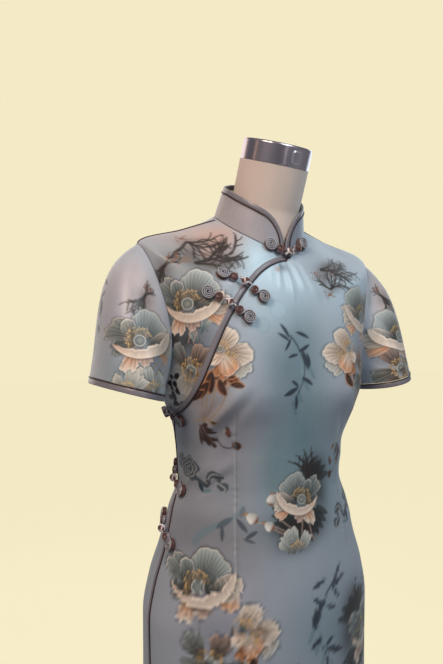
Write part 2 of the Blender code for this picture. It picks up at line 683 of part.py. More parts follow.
# ---------------------------------------------------------------- frog fastenings
BIG_COIL = 0.0088  # outer radius
SMALL_COIL = 0.0060
BIG_AT = 0.0305  # from the knot's middle to each coil's middle
SMALL_AT = 0.0155
RIBBON = 0.0021  # thickness of the rolled ribbon, and the gap between its turns
TURN_GAP = 0.0004
COIL_HEIGHT = 0.0056
KNOT_HALF_LENGTH = 0.0070
FROG_LIFT = 0.0004

Frog = namedtuple("Frog", "name phi level fall climb")
FROGS = (  # knots, and the angles by which the knot half falls forwards and the loop half climbs back
    Frog("collar", 3.0, NECK_LEVEL, 0.0, 0.0),
    Frog("chest_upper", -38.0, 1.3410, 26.0, 26.0),
    Frog("chest_lower", -46.2, 1.3020, 26.0, 26.0),
    Frog("armpit", -92.0, 1.1560, 28.0, -14.0),
    Frog("waist", -98.0, 1.0560, 24.0, 26.0),
    Frog("hip", -92.5, 0.9890, 26.0, 28.0),
)
COLLAR_FROG_HEIGHT = 0.005  # of the collar frog's middle above the neck seam


def coil_path():
    """Middle line of one half: out of the big coil, across, and into the small one, flat in XY."""
    big, small = BIG_COIL - RIBBON / 2, SMALL_COIL - RIBBON / 2
    pitch = RIBBON + TURN_GAP
    apart = BIG_AT - SMALL_AT
    leave = math.asin(min(1.0, (big + small) / apart)) - math.pi / 2
    big_turns = (big - 0.0014) / pitch
    small_turns = (small - 0.0014) / pitch
    rolls = []
    for radius, turns, segments, centre, start in (
        (big, big_turns, 8, 0.0, leave),
        (small, small_turns, 7, apart, leave + math.pi),
    ):
        angle = np.linspace(0, turns * math.tau, math.ceil(turns * segments) + 1)
        reach = radius - pitch * angle / math.tau
        at = start - angle
        rolls.append(np.stack([centre + reach * np.cos(at), reach * np.sin(at)], 1))
    return np.vstack([rolls[0][::-1], rolls[1]])


def ribbon_mesh(name, path, width, height):
    """A flat path thickened to width and raised to height: the section is swept along the path."""
    runs = unit(np.diff(path, axis=0))
    before, after = np.vstack([runs[:1], runs]), np.vstack([runs, runs[-1:]])
    side = np.stack([-(before + after)[:, 1], (before + after)[:, 0]], 1)
    side = side / (1 + (before * after).sum(1, keepdims=True)) * width / 2
    sections = [
        np.hstack([path + sign * side, np.full((len(path), 1), z)])
        for sign, z in ((1, 0.0), (1, height), (-1, height), (-1, 0.0))
    ]
    mesh = grid_mesh(name, np.stack(sections, 1)[:, ::-1], wrap=True)
    edit = bmesh.new()
    edit.from_mesh(mesh)
    bmesh.ops.holes_fill(edit, edges=[e for e in edit.edges if e.is_boundary], sides=4)
    bmesh.ops.recalc_face_normals(edit, faces=edit.faces)
    edit.to_mesh(mesh)
    edit.free()
    for face in mesh.polygons:
        face.use_smooth = False
    return mesh


def surface_move(phi, level, direction, distance):
    """(phi, level) reached by going a distance over the dress in a direction, in small steps."""
    at = np.array([[phi, level]])
    steps = 8
    for _ in range(steps):
        normal = body_normal(at[:, 0], at[:, 1])
        heading = unit(direction - (direction * normal).sum(1, keepdims=True) * normal)
        at = at + metric_step(at, heading * distance / steps)
        at[:, 1] = np.minimum(at[:, 1], NECK_LEVEL)
    return at[0]


def cloth_tree():
    """Search tree of every face made so far, so that a fastening can be laid on them."""
    graph = bpy.context.evaluated_depsgraph_get()
    verts, faces = [], []
    for obj in COLLECTION.objects:
        mesh = obj.evaluated_get(graph).to_mesh()
        first = len(verts)
        verts.extend(obj.matrix_world @ v.co for v in mesh.vertices)
        faces.extend([first + i for i in face.vertices] for face in mesh.polygons)
    return BVHTree.FromPolygons(verts, faces)


def resting_lift(cloth, origin, axes, discs):
    """How far out of its plane a flat piece has to move to clear the cloth under its discs."""
    lift = -1.0
    for x, radius in discs:
        for share in (0.0, 0.35, 0.7, 1.0):
            for angle in np.linspace(0, math.tau, 16, endpoint=False):
                reach = share * (radius + 0.0005)
                spot = origin + axes.T @ [x + reach * math.cos(angle), reach * math.sin(angle), 0.02]
                hit = cloth.ray_cast(Vector(spot), Vector(-axes[2]), 0.04)[0]
                if hit is not None:
                    lift = max(lift, float((np.array(hit) - origin) @ axes[2]))
    return lift + FROG_LIFT


def placement(origin, axes):
    turn = Matrix(axes.T.tolist()).to_4x4()
    return Matrix.Translation(Vector(origin.tolist())) @ turn


def frog_spot(frog, axis, distance):
    """Point on the cloth that far along the frog's axis from its knot, and the way out of the cloth."""
    if frog.name != "collar":
        at = surface_move(math.radians(frog.phi), frog.level, axis, distance)
        return dress(*at), body_normal(at[:1], at[1:])[0]
    sense = np.sign(axis[0])
    length = np.interp(math.radians(frog.phi), COLLAR_ANGLES, COLLAR_LENGTHS) + sense * distance
    angle = np.sign(length) * np.interp(abs(length), COLLAR_LENGTHS, COLLAR_ANGLES)
    out = body_normal(np.array([angle]), np.array([NECK_LEVEL - 0.004]))[0]
    height = COLLAR_FROG_HEIGHT
    wall = collar_point(length + STEP, height) - collar_point(length - STEP, height)
    rise = collar_point(length, height + STEP) - collar_point(length, height - STEP)
    return collar_point(length, height), unit(unit(np.cross(wall, rise)) + 0.6 * out)


def build_frog(frog, cloth, finishes):
    """Two rolled halves on either side of the opening, and the ball knot between them."""
    knot_phi, knot_level = np.array([math.radians(frog.phi)]), np.array([frog.level])
    across = unit(slopes(knot_phi, knot_level)[0])[0]
    upward = np.cross(body_normal(knot_phi, knot_level)[0], across)
    for half, sense, tilt in (("loop", -1, frog.climb), ("knot", 1, frog.fall)):
        axis = across * math.cos(math.radians(tilt)) - upward * math.sin(math.radians(tilt))
        near, _ = frog_spot(frog, sense * axis, SMALL_AT)
        far, _ = frog_spot(frog, sense * axis, BIG_AT)
        _, out = frog_spot(frog, sense * axis, (SMALL_AT + BIG_AT) / 2)
        along = unit(near - far)
        out = unit(out - (out @ along) * along)
        axes = np.stack([along, np.cross(out, along), out])
        lift = resting_lift(cloth, far, axes, ((0.0, BIG_COIL), (BIG_AT - SMALL_AT, SMALL_COIL)))
        name = f"frog_{frog.name}_{half}"
        obj = add_object(name, ribbon_mesh(name, coil_path(), RIBBON, COIL_HEIGHT), finishes["frog"])
        obj.matrix_world = placement(far + lift * out, axes)
    centre, normal = frog_spot(frog, axis, 0.0)
    axis = unit(axis - (axis @ normal) * normal)
    axes = np.stack([axis, np.cross(normal, axis), normal])
    lift = resting_lift(cloth, centre, axes, tuple((x, 0.002) for x in np.linspace(-0.008, 0.008, 9)))
    ball = 0.0046
    profile = (
        (0.0, KNOT_HALF_LENGTH),
        (0.0022, KNOT_HALF_LENGTH),
        (0.0024, 0.0046),
        (ball, 0.0020),
        (ball, -0.0020),
        (0.0024, -0.0046),
        (0.0022, -KNOT_HALF_LENGTH),
        (0.0, -KNOT_HALF_LENGTH),
    )
    spin = Matrix.Rotation(math.pi / 2, 4, "Y")
    turned(
        f"frog_{frog.name}_ball",
        profile,
        8,
        finishes["frog"],
        placement(centre + (lift + ball) * normal, axes) @ spin,
    )


# ---------------------------------------------------------------- dress form and stand
FormRing = namedtuple("FormRing", "level inset")
FORM_RINGS = (  # how far the form lies inside the dress at each body level
    FormRing(0.802, 0.055),
    FormRing(0.804, 0.040),
    FormRing(0.815, 0.025),
    FormRing(0.840, 0.015),
    FormRing(0.880, 0.009),
    FormRing(0.965, 0.006),
    FormRing(1.010, 0.006),
    FormRing(1.040, 0.007),
    FormRing(1.070, 0.007),
    FormRing(1.100, 0.007),
    FormRing(1.135, 0.0065),
    FormRing(1.165, 0.0065),
    FormRing(1.190, 0.0060),
    FormRing(1.230, 0.0058),
    FormRing(1.270, 0.0058),
    FormRing(1.305, 0.0080),
    FormRing(1.330, 0.0110),
    FormRing(1.350, 0.0095),
    FormRing(1.375, 0.0070),
    FormRing(1.400, 0.0065),
    FormRing(1.415, 0.0072),
    FormRing(1.4298, 0.0075),
)
NECK_TOP = Vector((0.0026, -0.0375, 1.5030))
NECK_LEAN = math.radians(19.0)  # forwards
NECK_SWAY = math.radians(3.0)  # to the wearer's left
NECK_RADIUS = 0.0500
NECK_LENGTH = 0.060  # of its round part, below the cap
CAP_RADIUS = 0.0496
CAP_HEIGHT = 0.029
CAP_EDGE = 0.0030
FORM_SIDES = 28

POLE_RADIUS = 0.0140
BASE_RADIUS = 0.170
BASE_HEIGHT = 0.012
FORM_FOOT = 0.802


def neck_frame(along):
    """Placement on the neck's leaning axis, that far above its top."""
    lean = Matrix.Rotation(NECK_SWAY, 4, "Y") @ Matrix.Rotation(NECK_LEAN, 4, "X")
    return Matrix.Translation(NECK_TOP) @ lean @ Matrix.Translation((0, 0, along))


def neck_circle(along, phi):
    ring = [Vector((NECK_RADIUS * math.sin(a), -NECK_RADIUS * math.cos(a), 0)) for a in phi]
    return np.array([neck_frame(along) @ point for point in ring])


def build_form(finishes):
    phi = np.linspace(0, math.tau, FORM_SIDES, endpoint=False)
    rings = []
    for row in FORM_RINGS:
        level = np.full(phi.shape, row.level)
        flat = np.where(row.level < 0.86, 1.0, 0.0)
        normal = body_normal(phi, level)
        normal[:, 2] *= 1 - flat
        rings.append(bare_body(phi, level) - row.inset * normal)
    foot = neck_circle(-NECK_LENGTH, phi)
    rings += [rings[-1] * (1 - share) + foot * share for share in (0.3, 0.65)]
    rings += [foot, neck_circle(-NECK_LENGTH / 2, phi), neck_circle(0.0, phi)]
    mesh = grid_mesh("form_torso", np.stack(rings), wrap=True)
    edit = bmesh.new()
    edit.from_mesh(mesh)
    bmesh.ops.holes_fill(edit, edges=[e for e in edit.edges if e.is_boundary], sides=FORM_SIDES)
    edit.to_mesh(mesh)
    edit.free()
    mesh.set_sharp_from_angle(angle=math.radians(50))
    add_object("form_torso", mesh, finishes["jersey"])
    corner = [
        (CAP_RADIUS - CAP_EDGE + CAP_EDGE * math.sin(a), CAP_HEIGHT - CAP_EDGE + CAP_EDGE * math.cos(a))
        for a in np.linspace(0, math.pi / 2, 5)
    ]
    cap = [(0.0, CAP_HEIGHT + 0.0012), (0.030, CAP_HEIGHT + 0.0008), *corner, (CAP_RADIUS, 0.0), (0.0, 0.0)]
    turned("neck_cap", cap, 32, finishes["steel"], neck_frame(0.0003))


def build_stand(finishes):
    top = FORM_FOOT - 0.0003
    socket = [
        (POLE_RADIUS + 0.0003, top),
        (0.045, top),
        (0.045, top - 0.008),
        (POLE_RADIUS + 0.008, top - 0.012),
        (POLE_RADIUS + 0.006, top - 0.060),
        (POLE_RADIUS + 0.0003, top - 0.060),
        (POLE_RADIUS + 0.0003, top),
    ]
    turned("stand_socket", socket, 24, finishes["steel"])
    foot = BASE_HEIGHT + 0.0003
    pole = [(0.0, top), (POLE_RADIUS, top), (POLE_RADIUS, foot), (0.0, foot)]
    turned("stand_pole", pole, 24, finishes["steel"])
    base = [
        (0.0, BASE_HEIGHT),
        (0.030, BASE_HEIGHT),
        (BASE_RADIUS - 0.012, 0.0075),
        (BASE_RADIUS - 0.003, 0.0060),
        (BASE_RADIUS, 0.0035),
        (BASE_RADIUS, 0.0),
        (0.0, 0.0),
    ]
    turned("stand_base", base, 48, finishes["steel"])


# ---------------------------------------------------------------- build
def clear_scene():
    for obj in list(bpy.data.objects):
        bpy.data.objects.remove(obj)


def main():
    clear_scene()
    bpy.context.scene.collection.children.link(COLLECTION)
    finishes = {
        "print": material("printed_satin", (0.42, 0.50, 0.55), 0.35),
        "collar": material("plain_satin", (0.48, 0.48, 0.52), 0.35),
        "binding": material("mauve_satin_binding", (0.30, 0.26, 0.28), 0.30),
        "piping": material("brown_piping", (0.06, 0.025, 0.02), 0.35),
        "frog": material("frog_ribbon", (0.28, 0.24, 0.26), 0.30),
        "jersey": material("form_jersey", (0.62, 0.50, 0.42), 0.85),
        "steel": material("brushed_steel", (0.60, 0.58, 0.57), 0.25, 1.0),
    }
    front_edge = build_front(finishes)
    build_back(finishes)
    build_underlap(front_edge, finishes)
    build_shoulder_piping(finishes)
    build_sleeve("right", -1, finishes)
    build_sleeve("left", 1, finishes)
    build_collar(finishes)
    cloth = cloth_tree()
    for frog in FROGS:
        build_frog(frog, cloth, finishes)
    build_form(finishes)
    build_stand(finishes)


main()
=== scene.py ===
"""Cheongsam in printed satin on a limbless dress form: the finished piece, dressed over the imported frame.

Metres, +Z up, the figure faces -Y and the wearer's left is +X. phi is the angle round the body from
the centre front, positive to the wearer's left; a level is the nominal height of a ring of cloth.
Every grid of points has its rows running up and its columns running to the right, seen from outside.
"""

import logging
import math
from dataclasses import dataclass, field
from enum import Enum, member
from typing import Callable, NamedTuple, Sequence

import bpy
import numpy as np
from bpy.types import Material, Mesh, Node, NodeSocket, Object
from mathutils import Matrix, Vector
from mathutils.bvhtree import BVHTree


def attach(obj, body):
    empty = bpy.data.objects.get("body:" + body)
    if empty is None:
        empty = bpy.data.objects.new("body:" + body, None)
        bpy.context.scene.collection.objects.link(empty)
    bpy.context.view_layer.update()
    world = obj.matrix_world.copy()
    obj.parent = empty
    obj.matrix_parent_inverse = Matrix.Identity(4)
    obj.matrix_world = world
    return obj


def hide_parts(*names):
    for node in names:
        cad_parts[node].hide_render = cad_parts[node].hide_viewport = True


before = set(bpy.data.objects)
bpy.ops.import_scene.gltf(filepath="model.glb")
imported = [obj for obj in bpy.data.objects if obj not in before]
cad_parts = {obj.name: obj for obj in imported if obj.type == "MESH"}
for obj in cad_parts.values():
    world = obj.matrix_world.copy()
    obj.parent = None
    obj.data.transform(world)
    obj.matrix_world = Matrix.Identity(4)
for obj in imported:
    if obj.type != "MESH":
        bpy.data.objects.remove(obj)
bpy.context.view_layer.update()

LOG = logging.getLogger("cheongsam")
Array = np.ndarray
Point = tuple[float, float]
Made = dict[str, Object]


# ------------------------------------------------------------------ sizes and tables
@dataclass(frozen=True)
class Cut:
    """Driving sizes of the dress, in metres."""

    wall: float = 0.0012
    layer_gap: float = 0.0004
    seam: float = 0.00045
    binding_width: float = 0.007
    binding_proud: float = 0.0004
    piping_radius: float = 0.0008
    piping_proud: float = 0.0006
    trim_gap: float = 0.0003  # between binding, piping and panel
    hem_level: float = 0.27
    slit_level: float = 0.7
    armpit_level: float = 1.19
    tip_level: float = 1.33
    neck_level: float = 1.43
    opening_short: float = 0.0014
    girth_radius: float = 0.14  # turns an angle round the body into a length

    @property
    def piping_line(self) -> float:
        """Distance from a bound edge to the middle of its piping."""
        return self.binding_width + self.trim_gap + self.piping_radius

    @property
    def panel_line(self) -> float:
        """Distance from a bound edge to the panel's own edge."""
        return self.piping_line + self.piping_radius + self.trim_gap


CUT = Cut()
ROUND = np.array([CUT.girth_radius, 1.0])  # (angle, level) into lengths


def table(kind: type, *rows: tuple) -> tuple:
    """Rows of plain values as named tuples of one kind."""
    return tuple(kind(*row) for row in rows)


class Ring(NamedTuple):
    """One ring of the body's surface; a height of 0 stands for the level itself."""

    level: float
    half_width: float
    y_side: float
    y_front: float
    y_back: float
    power: float = 2.2
    z_side: float = 0.0
    z_front: float = 0.0
    z_back: float = 0.0


RINGS = table(
    Ring,
    (0.27, 0.172, 0.004, -0.098, 0.108),
    (0.5, 0.168, 0.004, -0.102, 0.11),
    (0.72, 0.174, 0.004, -0.11, 0.118),
    (0.87, 0.174, 0.004, -0.114, 0.122),
    (0.92, 0.1655, 0.004, -0.112, 0.116),
    (0.965, 0.151, 0.004, -0.108, 0.106),
    (1.015, 0.1382, 0.003, -0.101, 0.092),
    (1.056, 0.124, 0.002, -0.096, 0.086),
    (1.1, 0.1262, 0, -0.098, 0.088),
    (1.135, 0.1325, 0, -0.101, 0.092, 2.3),
    (1.165, 0.144, 0, -0.103, 0.096, 2.4),
    (1.19, 0.154, 0, -0.104, 0.1, 2.4),
    (1.26, 0.168, 0.002, -0.104, 0.106, 2.4, 1.278, 1.255, 1.27),
    (1.33, 0.188, 0.006, -0.096, 0.104, 2.2, 1.381, 1.315, 1.347),
    (1.385, 0.121, 0.008, -0.082, 0.085, 2.1, 1.407, 1.346, 1.411),
    (1.43, 0.067, 0.004, -0.068, 0.062, 2.0, 1.426, 1.368, 1.45),
)


class Crease(NamedTuple):
    """A soft ridge, or a trough where height is negative, between two (turn, place) ends."""

    turn_0: float
    at_0: float
    turn_1: float
    at_1: float
    half_width: float
    height: float


CREASES = table(
    Crease,
    (-44, 1.192, -68, 1.12, 0.008, 0.0042),
    (-38, 1.184, -60, 1.112, 0.007, -0.0015),
    (-52, 1.192, -72, 1.14, 0.006, 0.0012),
    (-60, 1.09, -86, 1.052, 0.008, 0.0022),
    (-46, 1.096, -66, 1.066, 0.008, 0.0022),
    (-50, 1.076, -70, 1.046, 0.006, -0.0016),
    (40, 1.18, 68, 1.112, 0.011, 0.0024),
    (34, 1.16, 56, 1.098, 0.008, -0.0014),
    (58, 1.09, 84, 1.052, 0.01, 0.0016),
    (-11, 1.396, -13, 1.34, 0.004, 0.0011),
    (-7.5, 1.398, -8, 1.335, 0.0036, -0.0008),
    (-3, 1.402, -2, 1.322, 0.0044, 0.0015),
    (1.5, 1.4, 4, 1.335, 0.0038, -0.0008),
    (5.5, 1.4, 9.5, 1.34, 0.0048, 0.0013),
    (14, 1.398, 20, 1.31, 0.007, 0.0009),
    (-18, 1.384, -20, 1.35, 0.004, 0.0005),
    (150, 1.06, 205, 1.045, 0.013, 0.0022),
    (158, 1.02, 212, 1.01, 0.012, 0.0016),
    (140, 1.095, 188, 1.082, 0.01, 0.0012),
    (-62, 0.985, -36, 0.962, 0.01, 0.001),
    (44, 0.98, 70, 1, 0.01, 0.001),
)
SLEEVE_CREASES = table(
    Crease,
    (62, 0.08, 66, 0.8, 0.011, -0.0022),
    (92, 0.1, 84, 0.62, 0.0085, 0.0014),
    (30, 0.3, 38, 0.92, 0.013, 0.0016),
    (118, 0.12, 108, 0.72, 0.009, -0.0014),
    (300, 0.1, 296, 0.82, 0.012, -0.002),
    (268, 0.12, 276, 0.6, 0.009, 0.0013),
    (330, 0.34, 322, 0.9, 0.013, 0.0014),
    (246, 0.14, 254, 0.7, 0.0085, -0.0012),
)


class Dart(NamedTuple):
    """A sewn dart or shaping seam: a fine groove through three places, from its foot up."""

    phi_foot: float
    level_foot: float
    phi_waist: float
    level_waist: float
    phi_top: float
    level_top: float

    def line(self) -> tuple[Array, Array]:
        """Its three levels and the angles there."""
        return np.array(self[1::2]), np.radians(self[0::2])


DARTS = table(
    Dart,
    (-43, 0.955, -47, 1.075, -48, 1.158),
    (43, 0.955, 47, 1.075, 48, 1.158),
    (148, 0.93, 146, 1.066, 142, 1.185),
    (212, 0.93, 214, 1.066, 218, 1.185),
)


# (degrees round, level) of the bound edges, down the slanted opening and up the right side
OPENING = (
    *((-1.4, CUT.neck_level - CUT.opening_short), (-7.5, 1.4175), (-17, 1.401), (-25, 1.3868), (-31.8, 1.3715)),
    *((-37.6, 1.349), (-41.8, 1.3245), (-47, 1.2962), (-51.5, 1.274), (-57, 1.244), (-60.6, 1.224)),
    *((-64.2, 1.2045), (-68, 1.189), (-73, 1.1755), (-80.5, 1.163), (-88.5, 1.156)),
)
SIDE_EDGE = (
    *((-84, 0.27), (-87, 0.7), (-90.5, 0.9), (-91.5, 0.97), (-92.5, 1.002), (-96, 1.03)),
    *((-102, 1.055), (-105, 1.08), (-105, 1.105), (-99.5, 1.132), (-88.5, 1.156)),
)


# ------------------------------------------------------------------ small formulas
def stacked(*parts: Array) -> Array:
    """Arrays or numbers of matching shapes, side by side on a new last axis."""
    return np.stack(np.broadcast_arrays(*parts), -1)


def matched(*values: Array) -> tuple[Array, ...]:
    """The values as float arrays of one common shape."""
    return tuple(np.broadcast_arrays(*(np.asarray(value, float) for value in values)))


def unit(v: Array) -> Array:
    """Each vector at length 1."""
    return v / np.maximum(np.linalg.norm(v, axis=-1, keepdims=True), 1e-12)


def bell(x: Array, wide: float | Array = 1.0) -> Array:
    """exp(-(x / wide)^2)."""
    return np.exp(-((x / wide) ** 2))


def smoothstep(s: Array) -> Array:
    """3s^2 - 2s^3 with s held between 0 and 1."""
    s = np.clip(s, 0.0, 1.0)
    return s * s * (3 - 2 * s)


def mixed(a: Array, b: Array, share: Array) -> Array:
    """a where share is 0, b where it is 1."""
    return a * (1 - share) + b * share


def hermite(s: Array, start: Array, end: Array, leave: Array, arrive: Array) -> Array:
    """The cubic from start to end with these slopes at its ends, s going from 0 to 1."""
    rest = (1 - s) ** 2
    return (1 + 2 * s) * rest * start + s * rest * leave + s * s * (3 - 2 * s) * end + s * s * (s - 1) * arrive


def monotone_cubic(x: Array, y: Array, at: Array) -> Array:
    """Piecewise cubic through points that never overshoots them; its slopes are harmonic means.

    Args:
        x: increasing knots.
        y: the value at each knot.
        at: where it is read.

    Returns:
        The values, in the shape of at.
    """
    step = np.diff(x)
    slope = np.diff(y) / step
    before, after = 2 * step[1:] + step[:-1], step[1:] + 2 * step[:-1]
    rising = slope[:-1] * slope[1:] > 0
    safe_0, safe_1 = np.where(rising, slope[:-1], 1.0), np.where(rising, slope[1:], 1.0)
    middle = np.where(rising, (before + after) / (before / safe_0 + after / safe_1), 0.0)
    tangent = np.concatenate([slope[:1], middle, slope[-1:]])
    k = np.clip(np.searchsorted(x, at, side="right") - 1, 0, len(x) - 2)
    return hermite((at - x[k]) / step[k], y[k], y[k + 1], step[k] * tangent[k], step[k] * tangent[k + 1])


def lengths_along(points: Array) -> Array:
    """Length of a line up to each of its points."""
    return np.concatenate([[0], np.cumsum(np.linalg.norm(np.diff(points, axis=0), axis=1))])


def relief_of(creases: Sequence[Crease], turn: Array, at: Array, radius: float, length: float, over: float) -> Array:
    """How far creases stand out: each is a bell across its line, fading over the run past its ends.

    Args:
        creases: the ridges and troughs.
        turn: angles of the points, in radians.
        at: their places along the cloth.
        radius: turns an angle into a length.
        length: turns a place into a length.
        over: share of its length that a crease runs on and fades over; with 0 it doesn't fade.

    Returns:
        One height for each point.
    """
    height = np.zeros(turn.shape)
    for crease in creases:
        first = math.radians(crease.turn_0)
        start = np.array([first * radius, crease.at_0 * length])
        run = np.array([math.radians(crease.turn_1) * radius, crease.at_1 * length]) - start
        near = turn + np.round((first - turn) / math.tau) * math.tau
        away = stacked(near * radius, at * length) - start
        share = np.clip(away @ run / (run @ run), -over, 1 + over)
        across = np.linalg.norm(away - share[..., None] * run, axis=-1)
        taper = 1.0
        if over:
            taper = np.exp(-((np.clip(share, 0, 1) - share) ** 2) / 0.02)
            taper = taper * np.sin(math.pi * np.clip(0.12 + 0.76 * share, 0, 1))
        height = height + crease.height * taper * bell(across, crease.half_width)
    return height


# ------------------------------------------------------------------ the body surface
@dataclass
class BodySurface:
    """The dress's outer face: superellipse rings, the bust, the creases, the darts and the skirt's waves."""

    ridge_softness: float = 0.15
    ridge_end: float = 1.35
    step: float = 1e-4
    bust_x: float = 0.082
    bust_z: float = 1.185
    bust_height: float = 0.02
    bust_spread: float = 0.062
    bust_above: float = 0.075
    bust_below: float = 0.045
    dart_width: float = 0.0011
    dart_depth: float = 0.0007
    pucker: float = 0.000225
    pucker_width: float = 0.006
    waves: int = 7
    wave_height: float = 0.005
    wave_top: float = 0.8

    def __post_init__(self) -> None:
        """Reads the rings into columns."""
        self.column = dict(zip(Ring._fields, np.array(RINGS).T))
        for name in Ring._fields[-3:]:
            self.column[name] = np.where(self.column[name] == 0, self.column["level"], self.column[name])

    def bare(self, phi: Array, level: Array) -> Array:
        """Smooth surface point.

        A ring is reach = (|cos/depth|^p + |sin/width|^p)^(-1/p) from its centre, its height goes from
        the side's to the front's or back's, and a bell shaped bust stands out of it.
        """
        phi, level = matched(phi, level)
        ring = {name: monotone_cubic(self.column["level"], self.column[name], level) for name in Ring._fields[1:]}
        cosine, sine = np.cos(phi), np.sin(phi)
        ahead = cosine >= 0
        depth = np.where(ahead, ring["y_side"] - ring["y_front"], ring["y_back"] - ring["y_side"])
        power = ring["power"]
        reach = (np.abs(cosine / depth) ** power + np.abs(sine / ring["half_width"]) ** power) ** (-1 / power)
        x, y = reach * sine, ring["y_side"] - reach * cosine
        soft = self.ridge_softness
        rise = 1 - (1 - (np.sqrt(cosine**2 + soft**2) - soft) / (math.sqrt(1 + soft**2) - soft)) ** 2
        even_neck = np.where(ahead, 1 - np.arccos(np.clip(np.abs(cosine), 0, 1)) * 2 / math.pi, np.abs(cosine))
        even = smoothstep((level - self.ridge_end) / (CUT.neck_level - self.ridge_end))
        rise = mixed(rise, even_neck, even)
        z = ring["z_side"] + (np.where(ahead, ring["z_front"], ring["z_back"]) - ring["z_side"]) * rise
        bust = bell(np.abs(x) - self.bust_x, self.bust_spread)
        bust = bust * bell(z - self.bust_z, np.where(z > self.bust_z, self.bust_above, self.bust_below))
        return np.stack([x, y - self.bust_height * bust * np.clip(2 * cosine, 0, 1), z], -1)

    def slopes(self, phi: Array, level: Array) -> tuple[Array, Array]:
        """Change of the surface point for each radian round and each metre of level."""
        level = np.minimum(level, CUT.neck_level)
        low = np.maximum(level - self.step, CUT.hem_level)
        high = np.minimum(level + self.step, CUT.neck_level)
        around = (self.bare(phi + self.step, level) - self.bare(phi - self.step, level)) / (2 * self.step)
        return around, (self.bare(phi, high) - self.bare(phi, low)) / (high - low)[..., None]

    def normal(self, phi: Array, level: Array) -> Array:
        """Unit vector out of the smooth surface."""
        return unit(np.cross(*self.slopes(phi, level)))

    def relief(self, phi: Array, level: Array) -> Array:
        """How far creases, darts with their puckers, slack and the skirt's waves stand out."""
        phi, level = matched(phi, level)
        height = relief_of(CREASES, phi, level, CUT.girth_radius, 1.0, 0.2)
        for dart in DARTS:
            levels, angles = dart.line()
            turns = np.round((angles[1] - phi) / math.tau)
            middle = monotone_cubic(levels, angles, np.clip(level, levels[0], levels[-1]))
            across = (phi + turns * math.tau - middle) * CUT.girth_radius
            fade = smoothstep((level - levels[0]) / 0.03) * smoothstep((levels[-1] - level) / 0.03)
            pucker = self.pucker * np.sin(level * 420 + 3 * np.sin(level * 90)) * bell(across, self.pucker_width)
            height = height + fade * (pucker - self.dart_depth * bell(across, self.dart_width))
        drop = np.clip((self.wave_top - level) / (self.wave_top - CUT.hem_level), 0, 1)
        slack = 0.0005 * np.sin(5 * phi + 9 * level + 1.5) * np.sin(22 * level + 2 * np.sin(3 * phi))
        slack = slack * smoothstep((1.36 - level) / 0.05)
        return height + slack + self.wave_height * drop**1.5 * np.sin(self.waves * phi + 0.6)

    def cloth(self, phi: Array, level: Array, lift: float | Array = 0.0) -> Array:
        """Point of the cloth's outer face, creases included, moved out by lift."""
        phi, level = matched(phi, level)
        out = self.relief(phi, level) + lift
        return self.bare(phi, level) + out[..., None] * self.normal(phi, level)

    def metric_step(self, points: Array, moves: Array) -> Array:
        """The (phi, level) step that moves each surface point by the given vector: the 2 by 2 metric solved."""
        around, up = self.slopes(points[:, 0], points[:, 1])
        a, b, c = (around * around).sum(1), (around * up).sum(1), (up * up).sum(1)
        p, q = (moves * around).sum(1), (moves * up).sum(1)
        return np.stack([c * p - b * q, a * q - b * p], 1) / (a * c - b * b)[:, None]

    def inset(self, path: Array, distance: float | Array, passes: int = 0) -> Array:
        """Moves a path over the surface to its left, mitred where it turns.

        Args:
            path: (phi, level) points.
            distance: how far, one number or a column.
            passes: how often the mitres are averaged with their neighbours.

        Returns:
            The moved points.
        """
        normals = self.normal(path[:, 0], path[:, 1])
        runs = unit(np.diff(self.bare(path[:, 0], path[:, 1]), axis=0))
        left_0 = unit(np.cross(normals, np.vstack([runs[:1], runs])))
        left_1 = unit(np.cross(normals, np.vstack([runs, runs[-1:]])))
        mitre = (left_0 + left_1) / (1 + (left_0 * left_1).sum(1, keepdims=True))
        for _ in range(passes):
            mitre[1:-1] = (mitre[:-2] + 2 * mitre[1:-1] + mitre[2:]) / 4
        return path + self.metric_step(path, mitre * distance)


BODY = BodySurface()


# ------------------------------------------------------------------ edges of the pieces
SIDE_SEAM = math.radians(90)
BACK_SEAM_MARGIN = math.radians(5)
SLIT_FRONT = (math.radians(88.6), math.radians(86))  # at the slit's top, at the hem
SLIT_BACK = (math.radians(91.4), math.radians(94))
ARMHOLE_REACH = {True: math.radians(-15.5), False: math.radians(17)}  # over the front, over the back


@dataclass(frozen=True)
class Rows:
    """How many rows of points lie along each stretch of a panel's height."""

    shoulder: int = 76
    armhole: int = 122
    bodice: int = 164
    hip: int = 60
    skirt: int = 104
    bodice_end: float = 0.95
    slit_gap: float = 0.0004  # above and below the slits' tops

    @property
    def above(self) -> int:
        """Rows from the neck to the armpit."""
        return self.shoulder + self.armhole

    def levels(self, top: float, foot: float) -> Array:
        """Levels below the armpit, from top down to foot, close together over the bodice."""
        bodice = np.linspace(top, self.bodice_end, self.bodice + 1)
        hip = np.linspace(self.bodice_end, CUT.slit_level + self.slit_gap, self.hip + 1)[1:]
        return np.concatenate([bodice, hip, np.linspace(CUT.slit_level - self.slit_gap, foot, self.skirt)])


def spaced_curve(places: Sequence[Point], count: int) -> Array:
    """count points spread evenly along a smooth curve through the places."""
    knots = np.array(places) * [math.radians(1), 1]
    along = lengths_along(knots * ROUND)
    at = np.linspace(0, along[-1], count)
    return np.stack([monotone_cubic(along, knots[:, k], at) for k in (0, 1)], 1)


